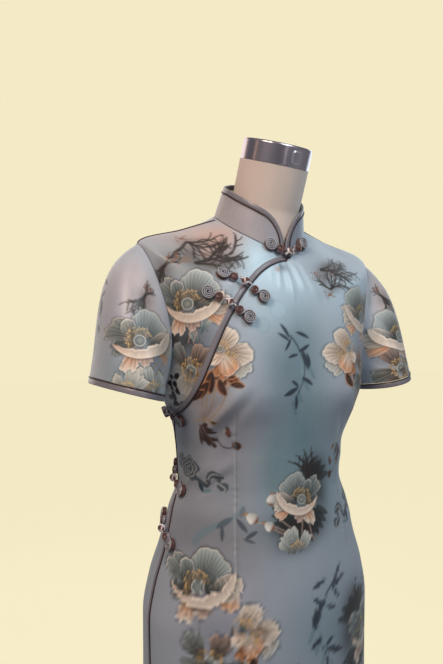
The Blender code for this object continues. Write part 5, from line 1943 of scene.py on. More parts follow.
class Canvas:
    """The outer face of a cloth, as points that colours are laid on one over another."""

    unit_length = 0.00126  # of one unit of a motif
    grain = 0.00075

    def __init__(self, shell: Shell) -> None:
        """Takes the points of the shell's outer face, with the base colour on all of them."""
        slopes = [np.cross(np.gradient(grid, axis=1), np.gradient(grid, axis=0)) for grid in shell.outer]
        self.points, self.normals = (np.vstack([g.reshape(-1, 3) for g in kind]) for kind in (shell.outer, slopes))
        self.normals = unit(self.normals)
        self.places = np.vstack([block[..., :2].reshape(-1, 2) for block in shell.blocks])
        self.colour = np.tile(Ink.BASE, (len(self.points), 1))

    def away(self, first: float, second: float) -> Array:
        """How far each point's parameters are from a place, its first in degrees."""
        away = self.places - [math.radians(first), second]
        away[:, 0] = (away[:, 0] + math.pi) % math.tau - math.pi
        return away

    def patch(self, placed: "Placed") -> Patch:
        """The points within reach of a place, on axes that stand upright on the cloth there.

        Args:
            placed: the motif's place, reach, size, turn, mirroring and stretch.

        Returns:
            The patch.
        """
        nearest = int(np.argmin(((self.away(placed.first, placed.second) * ROUND) ** 2).sum(1)))
        normal = self.normals[nearest]
        up = unit(np.array([0, 0, 1]) - normal[2] * normal)
        right, scale = np.cross(up, normal), self.unit_length * placed.size
        apart = self.points - self.points[nearest]
        near = (np.linalg.norm(apart, axis=1) < placed.reach * scale * 1.1) & (self.normals @ normal > 0.15)
        index = np.flatnonzero(near)
        u, v = apart[index] @ right / scale, apart[index] @ up / scale
        made = Patch(self, index, u, v, self.grain / scale).moved(0, 0, 1.0, placed.turn, placed.flip)
        made.v = made.v / placed.tall
        return made

    def lay(self, cover: Array, ink: Array) -> None:
        """Lays a colour."""
        self.colour = mixed(self.colour, ink, cover[:, None])

    def wash(self, first: float, second: float, wide: float, tall: float, ink: Array, strength: float) -> None:
        """A soft cloud of colour: a bell in the angle and the level.

        Args:
            first: angle of its middle, in degrees.
            second: level of its middle.
            wide: its spread in degrees.
            tall: its spread upwards.
            ink: its colour.
            strength: of its cover.
        """
        turn, rise = self.away(first, second).T
        self.lay(bell(turn, math.radians(wide)) * bell(rise, tall) * strength, ink)

    def seam(self, dart: Dart) -> None:
        """A painted highlight along a dart, with painted shade beside it."""
        levels, angles = dart.line()
        phi, level = self.places.T
        inside = (level < levels[-1]) & (level > levels[0])
        away = (phi - monotone_cubic(levels, angles, level)) * CUT.girth_radius
        # painted shade beside the dart's groove
        self.lay(bell(away - 0.0022, 0.0022) * 0.3 * inside, Ink.SLATE)
        # painted highlight along the dart
        self.lay(bell(away, 0.001) * 0.19 * inside, Ink.WHITE)

    def apply(self, obj: Object) -> None:
        """Writes the colours on the object, with the base colour on the inner face."""
        inner = len(obj.data.vertices) - len(self.colour)
        paint(obj.data, np.vstack([self.colour, np.tile(Ink.BASE * 0.9, (inner, 1))]))


# ------------------------------------------------------------------ motifs
def open_flower(patch: Patch, seed: int = 0) -> None:
    """A large open flower seen a little from above: a fan behind, a cupped petal and a rolled lip in front."""
    deep, sage, cream = Ink.DEEP_SAGE, Ink.SAGE, Ink.CREAM
    patch.petals(
        seed * 1.7,
        (15, -7, -22, 30, 25, Ink.ORANGE * 0.9, Ink.PEACH, cream, 0.05, 14),
        (2, -8, -76, 40, 19, Ink.WARM * 0.4, Ink.WARM * 0.75, cream, 0.07, 12),
        (-5, -8, -112, 38, 25, Ink.ORANGE * 0.8, cream * 0.85, Ink.WHITE, 0.08, 16, 1.5, 2.2),
        (-2, -2, 186, 40, 24, deep * 0.5, sage * 0.7, Ink.PALE_SAGE, 0.05, 20),
        (-2, 0, 142, 34, 35, deep * 0.7, sage * 1.4, cream, 0.04, 22),
        (2, -4, 66, 58, 39, deep * 0.35, sage * 2.1, cream, 0.03, 56, 1.2, 2.6),
        (6, -6, 16, 34, 36, deep * 0.8, cream * 0.8, Ink.WHITE, 0.04, 26, 1.3),
    )
    patch.petals(1.0, (-7.5, 1, 104, 36, 23, deep * 0.6, sage * 1.3, Ink.WHITE, 0.02, 16, 1.6, 2.4))
    patch.stamens((0, 0, 6.5, 15.5), 20, 246, 28, seed + 5)
    patch.lip(4, 13, -158, 2, 22, 33)
    patch.heart(6.4, 6.2)


def small_flower(patch: Patch, seed: int = 0) -> None:
    """A browner flower half hidden by its own petals, with an oval seed head dark at its foot."""
    smoke, sage, pale = Ink.SMOKE, Ink.SAGE, Ink.PALE_SAGE
    patch.petals(
        seed * 2.1,
        (-4, 0, 126, 36, 30, smoke * 0.6, sage * 1.2, pale, 0.04, 16),
        (3, 0, 66, 40, 27, smoke * 0.4, Ink.WARM * 0.5, Ink.WARM * 0.9, 0.04, 16),
        (-2, -2, 188, 34, 23, sage * 0.5, sage * 1.2, pale, 0.06, 16),
        (5, -3, 336, 44, 26, smoke * 0.6, sage * 1.2, Ink.CREAM, 0.05, 16),
        (5, -8, 290, 42, 28, smoke * 0.6, Ink.WARM * 0.75, Ink.CREAM, 0.08, 20),
        (-1, -3, 234, 42, 29, sage * 0.4, pale * 1.1, Ink.CREAM, 0.07, 26, 1.4, 2.2),
    )
    patch.stamens((0, 0, 6, 13), 0, 360, 34, seed + 11)
    patch.heart(6.2, 4.8, -28, 0.85)


def peach_flower(patch: Patch, seed: int = 0) -> None:
    """A warm side-on flower: rounded cream petals with an orange foot."""
    peach, cream, white = Ink.PEACH, Ink.CREAM, Ink.WHITE
    patch.petals(
        seed * 1.3,
        (6, -8, -32, 36, 28, peach * 0.5, Ink.PALE_SAGE, white, 0.04, 26),
        (2, -10, -84, 50, 20, Ink.ORANGE * 0.7, Ink.ORANGE * 0.9, peach, 0.08, 18),
        (5, -3, -6, 46, 28, peach * 0.4, cream * 0.9, white, 0.03, 24, 1.2, 2.4),
        (2, -4, -62, 44, 24, cream * 0.75, Ink.ORANGE * 1.25, white, 0.03, 16),
        (-2, -2, 54, 46, 27, peach * 0.4, cream * 0.95, white, 0.02, 30, 1.3, 2.2),
        (4, -4, 214, 44, 17, peach * 0.75, cream, white, 0.02, 10, 1.2, 2.2),
    )
    patch.stamens((0, 0, 3.5, 10.5), -60, 200, 20, seed + 3)
    patch.stamens((4, -5, 3, 14), -50, 10, 8, seed + 4)
    patch.heart(3.6, 3.2)


def side_flower(patch: Patch, seed: int = 0) -> None:
    """A flower half open, from the side."""
    sage, pale, cream = Ink.SAGE, Ink.PALE_SAGE, Ink.CREAM
    patch.petals(
        seed * 1.9,
        (-2, -12, 132, 26, 26, sage * 0.6, pale, cream, 0.05, 16),
        (-1, -12, 98, 34, 31, sage * 0.6, pale, cream, 0.04, 30, 1.4, 2.4),
        (4, -12, 56, 28, 27, sage * 0.7, pale * 1.05, cream, 0.05, 20, 1.4, 2.4),
    )
    patch.stamens((2, -8, 3, 12), 30, 150, 12, seed + 21)


def coral_spray(patch: Patch, seed: int = 3) -> None:
    """Smoky brown fronds that fan out of two feet, with clusters of grains, over a dark haze."""
    rng = np.random.default_rng(seed)
    for *cloud, strength in ((6, -15, 24, 8, 0.85), (-16, -4, 10, 10, 0.7), (24, -6, 16, 9, 0.5), (-6, 10, 20, 6, 0.6)):
        patch.haze(*cloud, Ink.SMOKE, strength)
    for u, v, turn, length, depth in (
        *((-16, 10, 2, 30, 1), (-16, 10, -22, 30, 1), (-14, 9, -44, 24, 1), (-14, 8, -70, 17, 1)),
        *((-18, 10, -122, 19, 1), (-17, 10, -140, 15, 0), (-12, -15, 16, 44, 2), (-10, -16, 2, 34, 1)),
        *((4, -9, 38, 24, 1), (14, -5, 56, 18, 1), (12, -6, -14, 24, 1)),
    ):
        patch.twig((u, v), turn, length, depth, Ink.UMBER, rng, 0.94)
    for u, v, radius in ((-26, 13, 3.6), (-18, 16, 3.2), (0, -4, 3.4), (-29, -12, 4.2), (-20, -13, 3.4)):
        patch.pollen(u, v, radius, 10, 50 + u + v)


def dark_frond(patch: Patch, seed: int = 8) -> None:
    """A short smoky frond with a few grains."""
    rng = np.random.default_rng(seed)
    patch.haze(-2, -2, 10, 12, Ink.SMOKE, 0.6)
    for turn, length in ((232, 24), (250, 18), (208, 20), (224, 14), (60, 13), (24, 12)):
        patch.twig((0, 2), turn, length, 1, Ink.UMBER, rng, 0.9)
    patch.pollen(5, 9, 4.2, 12, seed)


def bamboo(patch: Patch, seed: int = 0) -> None:
    """Slim dark leaves in pairs along a thin bent stem, and a faint jointed cane behind."""
    for k in range(4):
        across, down = 6.6 * k, 12.5 * k
        patch.stroke((19 - across, -30 - down, 13.5 - across, -18.5 - down), 4.2, 4.2, Ink.TEAL * 0.75, 0.42)
    patch.stroke((-8, 14, 1, 3, 9, -16), 2, 1.6, Ink.INK_BLUE, 0.855)
    patch.stroke((9, -16, 7, -34, -3, -52), 1.8, 1.5, Ink.INK_BLUE, 0.665)
    for *ends, wide in (
        *((-20, 27, -9, 11, 3.6), (-24, 17, -9, 8, 3.2), (-7, 12, -16, -2, 3), (-1, 18, 16, 11, 3.6)),
        *((16, 5, 2, -3, 3.6), (-12, -9, 2, -6, 3), (6, 0, 13, -23, 4.2), (12, -4, 15, -20, 3.2)),
        *((-9, -33, 2, -40, 3.4), (1, -40, -20, -48, 5), (-2, -48, -1, -64, 4.2), (6, -30, 18, -39, 3.8)),
    ):
        patch.leaf(ends, wide * 1.12, Ink.INK_BLUE, 0.95, 0.04)


def lobed_leaf(patch: Patch, seed: int = 0) -> None:
    """A dark leaf with pointed lobes, and three oval buds on thin stems."""
    for *ends, wide in (
        *((-9, 8, 5, -14, 6), (-9, 6, 6, 6, 4.6), (-8, 4, 9, 2, 4.4), (-9, 4, -8, -13, 3.6), (-8, 0, -5, -9, 3)),
        *((-6, 7, 1, 11, 4), (-3, -3, 9, -7, 4.2), (-2, -6, 7, -13, 4), (-5, -2, 0, -13, 4)),
    ):
        patch.leaf(ends, wide, Ink.BROWN)
    patch.stroke((-9, 9, -2, 1, 3, -10), 0.8, 0.5, Ink.WARM * 0.6, 0.6)
    patch.stroke((-11, 10, -4, 15, 3, 14), 1.1, 0.9, Ink.GOLD * 0.75)
    patch.disc((7, 14, 4.4, 2.2, -8), Ink.UMBER, Ink.SAGE * 0.6, Ink.GOLD * 0.7, 0.7)
    patch.disc((18, 2.5, 2.8, 5.6, 14), Ink.RUST * 0.8, Ink.UMBER)
    patch.leaf((15.6, 8, 15, 1), 2, Ink.PALE_SAGE, 0.8)
    patch.stroke((7, -3, 13, -12, 20, -13), 1.1, 1.1, Ink.BROWN)
    patch.disc((25, -11.5, 4.4, 3.6, -30), Ink.UMBER, Ink.BROWN, Ink.RUST * 0.8, 0.5)


def rose_and_cloud(patch: Patch, seed: int = 0) -> None:
    """Two line roses and a traditional cloud: its tail curls over twice, with an inner light line."""
    patch.rose(-17, 5, 8.5, 1.0)
    part = patch.moved(3, -1, 0.88)
    for line, wide in (
        ((6, -6, 14, -10, 22, -16), 8),
        ((20, -15, 27, -9, 31, -3, 38, -2), 6.5),
        ((26, -6, 32, 1, 40, -5), 5.2),
        ((36, -6, 36, -14, 42, -20), 6.2),
        ((38, -16, 43, -13, 44, -18), 5),
    ):
        part.stroke(line, wide, wide * 0.75, Ink.SLATE * 0.5, 0.95)
    for line in (
        *((10, -4, 17, -9, 24, -13), (26, -8, 33, -1, 40, -3)),
        *((33, -9, 38, -14, 43, -18, 41, -22), (29, -11, 31, -7, 35, -8)),
    ):
        part.stroke(line, 1.3, 1, Ink.PALE_SAGE * 0.95, 0.8)
    part.leaf((12, -12, 18, -25), 5.5, Ink.INK_BLUE * 1.1)
    part.leaf((17, -24, 29, -21), 4.4, Ink.TEAL * 0.8, 0.8)
    patch.rose(-1, 0, 12.5, 0.4)


def cane_arc(patch: Patch, seed: int = 0) -> None:
    """A faint broad leaf in grey-green that sweeps up, with dark slim ones across it."""
    patch.stroke((-42, -24, -24, -9, -6, 0, 6, 13), 9, 3, Ink.TEAL * 0.9, 0.42)
    for *ends, wide, strength in (
        *((-20, -9, -4, 2, 7, 0.55), (-14, -6, -13, -22, 4, 0.8), (0, 2, 12, -12, 5, 0.75)),
        *((10, -18, 22, -10, 4.4, 0.8), (8, -18, 20, -22, 3.4, 0.7), (4, 2, 8, 14, 5, 0.4)),
    ):
        patch.leaf(ends, wide, Ink.INK_BLUE * 1.15, strength)


def bouquet(patch: Patch, seed: int = 0) -> None:
    """Three flowers, buds and stems that meet at one foot."""
    patch.haze(0, -14, 30, 26, Ink.SLATE, 0.45)
    tops = ((-14, 10, -6), (16, -8, 8), (-10, -30, 3), (24, -36, 6), (12, -44, 2))
    patch.stems(tops, 2, -92, Ink.BROWN * 1.6)
    patch.calyx_bud(22, -46, 160)
    patch.moved(10, -52, 1.0, 200).calyx_bud(0, 0, 0, 0.9)
    small_flower(patch.moved(-4, -40), seed + 1)
    open_flower(patch.moved(-16, 26), seed)
    peach_flower(patch.moved(26, -10), seed + 2)
    patch.calyx_bud(34, -44, 150)


def flower_and_pods(patch: Patch, seed: int = 0) -> None:
    """One open flower over dark haze, with three seed pods on long stems at its side."""
    dark = Ink.NIGHT
    for *cloud, strength in (
        *((-22, -26, 20, 9, 0.9), (6, -28, 26, 15, 1), (20, 30, 15, 17, 0.95)),
        *((26, 4, 14, 20, 0.8), (-12, -42, 22, 11, 0.8)),
    ):
        patch.haze(*cloud, dark, strength)
    rng = np.random.default_rng(seed)
    for turn in (*range(165, 350, 15), 20, 38, 56, 74, 92):
        c, s = math.cos(math.radians(turn)), math.sin(math.radians(turn))
        u, v = (8, 12) if turn < 100 else (0, -12)
        patch.leaf((u + 3 * c, v + 3 * s, u + 38 * c, v + 32 * s), 10.5, dark, 0.8, 0.08)
    for turn in (60, 80, 100, 120):
        patch.twig((8, 22), turn, 24, 1, Ink.UMBER, rng, 0.85)
    for turn in (200, 225, 250, 280, 310):
        patch.twig((-4, -18), turn, 24, 1, Ink.UMBER * 0.8, rng, 0.8)
    for line in (
        (-34, -6, -28, -16, -10, -30),
        (-56, -16, -44, -20, -30, -26, -14, -36),
        *((-40, -24, -26, -32, -16, -40), (0, -16, -2, -28, -4, -40), (6, -16, 8, -30, 12, -44)),
    ):
        patch.stroke(line, 1.2, 0.9, Ink.WARM * 0.7, 0.9)
    side_flower(patch.moved(-12, -44, 0.9), seed + 1)
    open_flower(patch.moved(0, 0, 0.84, 0, True), seed)
    for bud in ((-36, 4, -12, 0.95), (-58, -12, 52, 1.05), (-41, -22, 55, 0.95)):
        patch.cup_bud(*bud)


def opening_stems(patch: Patch, seed: int = 0) -> None:
    """Golden stems that run down together below the buds."""
    patch.stems(((22, 30, 5), (14, 24, 2), (8, 20, 0), (32, 26, 9)), 0, -12, Ink.GOLD * 0.55)


def opening_buds(patch: Patch, seed: int = 0) -> None:
    """Dark pointed buds and sepals with orange edges below the peach flower."""
    for bud in (
        *((8, 6, 244, 1), (-4, 8, 228, 1.1), (0, -3, 24, 1), (-12, 2, -6, 1.3)),
        *((-20, -6, -30, 1.1), (-28, -12, -52, 1), (-24, 10, -10, 0.9), (14, 0, 262, 0.8)),
    ):
        patch.calyx_bud(*bud)
    patch.stroke((-6, 12, 6, 6, 18, 10), 1.3, 0.9, Ink.ORANGE * 1.2)


def between_leaves(patch: Patch, seed: int = 0) -> None:
    """Feathered leaves, stems and a blotted ground between two flowers."""
    patch.haze(-2, 2, 22, 20, Ink.SLATE * 0.55, 0.8)
    patch.haze(-14, -8, 9, 16, Ink.DEEP_SAGE * 0.5, 0.7)
    rng = np.random.default_rng(seed + 31)
    for u, v in zip(rng.uniform(-16, 6, 9), rng.uniform(-10, 14, 9)):
        patch.haze(u, v, 3.5, 5, Ink.UMBER, 0.55)
    for u, v, turn in ((13, -10, 108), (17, 2, 70)):
        patch.petals(turn, (u, v, turn, 24, 20, Ink.TEAL * 0.5, Ink.PALE_SAGE, Ink.WHITE * 0.9, 0.05, 12))
    for u in (2, 8):
        patch.stroke((u, 20, u + 3, 8, u + 1, -6), 1.3, 1, Ink.WARM * 0.6)


def torn_blots(patch: Patch, seed: int = 0) -> None:
    """Dark blots over a pale ground, under the arm."""
    patch.haze(0, 0, 17, 22, Ink.WHITE, 0.95)
    rng = np.random.default_rng(seed + 5)
    for u, v, wide, tall in zip(*(rng.uniform(*span, 18) for span in ((-12, 12), (-20, 18), (2, 4), (2, 6)))):
        patch.disc((u, v, wide, tall, 40 * u), Ink.UMBER * 0.5, Ink.UMBER * 0.5)


def moon_discs(patch: Patch, seed: int = 0) -> None:
    """Two faint round tints."""
    patch.disc((9, 8, 10, 10, 0), Ink.SKY * 0.9, Ink.SKY * 0.8, Ink.TEAL, 0.6, strength=0.28)
    patch.disc((-11, -9, 8.5, 8.5, 0), Ink.PALE_TEAL, Ink.PALE_TEAL * 0.9, Ink.TEAL, 0.6, strength=0.3)


class Motif(Enum):
    """The motifs a cloth can carry, each with the function that draws it."""

    FLOWER = member(open_flower)
    SMALL = member(small_flower)
    PEACH = member(peach_flower)
    SIDE = member(side_flower)
    SPRAY = member(coral_spray)
    FROND = member(dark_frond)
    BAMBOO = member(bamboo)
    LOBED = member(lobed_leaf)
    CLOUD = member(rose_and_cloud)
    CANE = member(cane_arc)
    BOUQUET = member(bouquet)
    PODS = member(flower_and_pods)
    STEMS = member(opening_stems)
    BUDS = member(opening_buds)
    UNDER = member(between_leaves)
    MOON = member(moon_discs)
    BLOTS = member(torn_blots)


# ------------------------------------------------------------------ layout of the print
class Placed(NamedTuple):
    """A motif on a cloth: its place, reach in units, size, mirroring, seed, turn and stretch upwards."""

    motif: Motif
    first: float
    second: float
    reach: float = 50
    size: float = 1
    flip: bool = False
    seed: int = 0
    turn: float = 0
    tall: float = 1


# soft tints, some of them partly painted light and shade as marked below:
# (place, spread in degrees and metres, ink, strength), with the second of each pair a level
WASHES = (
    # warm on the wearer's right shoulder: partly the print's tint, partly painted warm light on the lit side
    (-74, 1.39, 24, 0.05, Ink.WARM, 0.6),
    (-60, 1.402, 18, 0.03, Ink.ORANGE * 1.1, 0.42),
    # pale blue on the chest: partly the print's tint, partly a painted satin highlight
    (-26, 1.385, 20, 0.05, Ink.SKY, 0.85),
    (-2, 1.35, 24, 0.06, Ink.SKY, 0.65),
    (-22, 1.3, 18, 0.04, Ink.SKY * 0.9, 0.45),
    # teal: partly the print's tint, partly painted shade on the side away from the warm light
    (2, 1.24, 20, 0.07, Ink.TEAL, 0.55),
    (-20, 1.215, 14, 0.045, Ink.TEAL * 0.85, 0.35),
    (-52, 1.13, 18, 0.04, Ink.MAUVE * 0.85, 0.55),
    (-62, 1.165, 12, 0.03, Ink.WARM * 0.75, 0.4),
    # dark teal on the belly: partly the print's tint, partly painted shade
    (-20, 1.085, 16, 0.06, srgb(88, 128, 132), 0.65),
    (4, 1.12, 20, 0.09, srgb(78, 116, 124), 0.7),
    # painted shade: greys darker low on the wearer's right, where the light falls off downward
    (-64, 1.01, 34, 0.07, srgb(112, 112, 118), 0.85),
    (-60, 1.095, 30, 0.05, srgb(132, 130, 136), 0.6),
    (-46, 0.985, 24, 0.04, srgb(118, 114, 114), 0.5),
    # teal low at the centre front: partly the print's tint, partly painted shade
    (-6, 1.01, 24, 0.04, Ink.TEAL * 0.7, 0.55),
    (-7, 1.39, 5, 0.01, Ink.SLATE, 0.75),
    (-12.5, 1.382, 2.2, 0.006, Ink.WARM * 0.6, 0.85),
    (-70, 1.245, 16, 0.06, Ink.SLATE * 0.8, 0.85),
    (-66, 1.345, 14, 0.028, srgb(128, 138, 138), 0.75),
    (-64, 1.215, 12, 0.03, Ink.SLATE * 0.8, 0.5),
    (46, 1.33, 24, 0.06, Ink.SKY, 0.5),
    (60, 1.2, 20, 0.06, Ink.MAUVE, 0.45),
    (36, 1.06, 22, 0.07, Ink.TEAL, 0.45),
    (-50, 0.9, 26, 0.06, Ink.MAUVE, 0.5),
    (20, 0.86, 30, 0.07, Ink.TEAL, 0.45),
    (-40, 0.74, 24, 0.08, Ink.SLATE, 0.45),
    (30, 0.62, 30, 0.08, Ink.PALE_TEAL, 0.5),
    (-30, 0.52, 30, 0.08, Ink.MAUVE, 0.45),
    (20, 0.38, 40, 0.07, Ink.TEAL, 0.45),
    (-60, 0.33, 30, 0.06, Ink.SLATE, 0.35),
    (130, 1.35, 26, 0.06, Ink.WARM, 0.4),
    (200, 1.33, 40, 0.06, Ink.SKY, 0.5),
    (150, 1.22, 24, 0.06, Ink.SLATE, 0.5),
    (225, 1.18, 26, 0.07, Ink.TEAL, 0.45),
    (170, 1.06, 30, 0.06, Ink.MAUVE, 0.45),
    (205, 0.94, 30, 0.07, Ink.TEAL, 0.45),
    (140, 0.86, 26, 0.08, Ink.SLATE, 0.4),
    (215, 0.72, 28, 0.09, Ink.MAUVE, 0.45),
    (160, 0.6, 30, 0.08, Ink.PALE_TEAL, 0.45),
    (205, 0.44, 30, 0.09, Ink.TEAL, 0.45),
    (150, 0.34, 30, 0.06, Ink.SLATE, 0.4),
)
SLEEVE_WASHES = (  # here the second of each pair is a share of the way down
    (52, 0.22, 34, 0.2, Ink.WARM, 0.5),
    (20, 0.5, 40, 0.3, Ink.MAUVE, 0.4),
    (84, 0.55, 26, 0.25, Ink.SLATE, 0.65),
    (70, 0.9, 40, 0.16, Ink.TEAL * 0.8, 0.65),
    (300, 0.6, 40, 0.3, Ink.TEAL, 0.45),
    (270, 0.25, 34, 0.2, Ink.SLATE, 0.4),
)
PRINTS = {
    "underlap": table(
        Placed,
        (Motif.SPRAY, -64.5, 1.376, 62, 1, False, 0, 0, 1.45),
        (Motif.FROND, -73, 1.318, 38, 1, False, 4, 0, 1.2),
        (Motif.UNDER, -67.5, 1.252, 34),
        (Motif.SMALL, -67, 1.2125, 34, 1, False, 2),
        (Motif.FLOWER, -64.6, 1.2885, 44, 1, False, 1),
        (Motif.STEMS, -74, 1.182, 40),
        (Motif.BLOTS, -80.5, 1.188, 30),
    ),
    "front_panel": table(
        Placed,
        (Motif.MOON, -22, 1.29, 30),
        (Motif.STEMS, -66, 1.162, 46, 1.1),
        (Motif.BUDS, -54, 1.196, 40),
        (Motif.PEACH, -53.2, 1.242, 38),
        (Motif.BAMBOO, -3, 1.244, 80),
        (Motif.LOBED, -62.8, 1.13, 36, 1.14),
        (Motif.CLOUD, -80, 1.077, 56),
        (Motif.CANE, -44.5, 1.019, 54),
        (Motif.PODS, 5, 1.038, 76, 1, False, 4),
        (Motif.SPRAY, 42, 1.36, 62, 1, True, 9, 200),
        (Motif.BOUQUET, 52, 1.255, 110, 1, True, 7),
        (Motif.LOBED, 48, 1.09, 40, 1, True, 0, 30),
        (Motif.CLOUD, 62, 1.02, 60, 1.1, True),
        (Motif.BOUQUET, -52, 0.9, 110, 1.1, False, 12),
        (Motif.BAMBOO, 20, 0.9, 80, 1.25, True),
        (Motif.PODS, 56, 0.83, 90, 1.25, True, 14),
        (Motif.SPRAY, -20, 0.79, 66, 1.3, False, 16),
        (Motif.BOUQUET, 14, 0.67, 110, 1.25, True, 18),
        (Motif.CLOUD, -50, 0.67, 60, 1.3),
        (Motif.BAMBOO, -34, 0.6, 80, 1.4),
        (Motif.PODS, 52, 0.56, 90, 1.3, True, 21),
        (Motif.BOUQUET, -46, 0.47, 110, 1.3, False, 24),
        (Motif.BAMBOO, 14, 0.49, 80, 1.4, True),
        (Motif.PODS, 10, 0.35, 90, 1.35, False, 27),
        (Motif.FLOWER, 62, 0.36, 50, 1.2, True, 30),
        (Motif.PEACH, -66, 0.32, 50, 1.2, False, 31),
    ),
    "back_panel": table(
        Placed,
        (Motif.SPRAY, 150, 1.36, 62, 1.1, True, 40),
        (Motif.BOUQUET, 214, 1.3, 110, 1.05, False, 41),
        (Motif.BAMBOO, 158, 1.25, 80, 1.2, True),
        (Motif.FLOWER, 124, 1.25, 50, 1, True, 42),
        (Motif.CLOUD, 150, 1.11, 60, 1.1, True),
        (Motif.PODS, 192, 1.04, 90, 1.15, False, 43),
        (Motif.LOBED, 236, 1.12, 40, 1.1),
        (Motif.BOUQUET, 146, 0.95, 110, 1.2, True, 44),
        (Motif.BAMBOO, 222, 0.96, 80, 1.3),
        (Motif.SPRAY, 196, 0.84, 66, 1.3, False, 45),
        (Motif.BOUQUET, 226, 0.73, 110, 1.25, False, 46),
        (Motif.PODS, 158, 0.68, 90, 1.3, True, 47),
        (Motif.CLOUD, 190, 0.59, 60, 1.3),
        (Motif.BAMBOO, 132, 0.57, 80, 1.4, True),
        (Motif.BOUQUET, 176, 0.48, 110, 1.3, True, 48),
        (Motif.PODS, 236, 0.43, 90, 1.3, False, 49),
        (Motif.FLOWER, 130, 0.37, 50, 1.2, False, 50),
        (Motif.PEACH, 206, 0.33, 50, 1.2, True, 51),
    ),
    "sleeve_right": table(
        Placed,
        (Motif.FROND, 56, 0.22, 36, 1, False, 60),
        (Motif.STEMS, 80, 0.82, 40, 1, False, 0, -20),
        (Motif.SIDE, 92, 0.84, 34, 0.95, False, 61),
        (Motif.SIDE, 62, 0.93, 34, 0.8, True, 62),
        (Motif.FLOWER, 64, 0.555, 44, 0.94, False, 1),
        (Motif.BAMBOO, 350, 0.45, 60),
        (Motif.FLOWER, 296, 0.55, 44, 1, True, 63),
        (Motif.LOBED, 250, 0.3, 40),
    ),
    "sleeve_left": table(
        Placed,
        (Motif.FROND, 50, 0.2, 36, 1, True, 70),
        (Motif.SMALL, 88, 0.78, 34, 1, True, 71),
        (Motif.FLOWER, 56, 0.58, 44, 1, True, 72),
        (Motif.BAMBOO, 8, 0.42, 60, 1, True),
        (Motif.PEACH, 300, 0.6, 44, 1, False, 73),
        (Motif.LOBED, 255, 0.32, 40, 1, True),
    ),
}


def line_collar(shell: Shell, obj: Object) -> None:
    """Plain satin outside, painted warmer on its lit right side, and a lining with soft olive blots inside."""
    outside = shell.outer[0][..., 0].size
    x, y, z = numbers(obj.data.vertices, "co", 3).T
    blots = 0.5 + 0.5 * np.sin(250 * x + 3 * np.sin(190 * z)) * np.sin(230 * y + 2 * np.sin(310 * z))
    colours = mixed(srgb(96, 92, 62), srgb(196, 186, 150), blots[:, None] ** 1.5)
    # painted light: the outside is warmer on the wearer's right, where the warm lamp falls, and cooler on the left
    right, left = np.array([[0.355, 0.325, 0.345], [0.275, 0.295, 0.345]])
    colours[:outside] = mixed(right, left, smoothstep((x + 0.055) / 0.07)[:, None])[:outside]
    paint(obj.data, colours)


def print_cloth(name: str, shell: Shell, obj: Object) -> None:
    """Paints one cloth: its washes, its motifs in their order, then painted highlight and shade along its darts."""
    canvas = Canvas(shell)
    for wash in SLEEVE_WASHES if name.startswith("sleeve") else WASHES:
        canvas.wash(*wash)
    for placed in PRINTS[name]:
        placed.motif.value(canvas.patch(placed), placed.seed)
    for dart in DARTS if name.endswith("panel") else ():
        canvas.seam(dart)
    canvas.apply(obj)


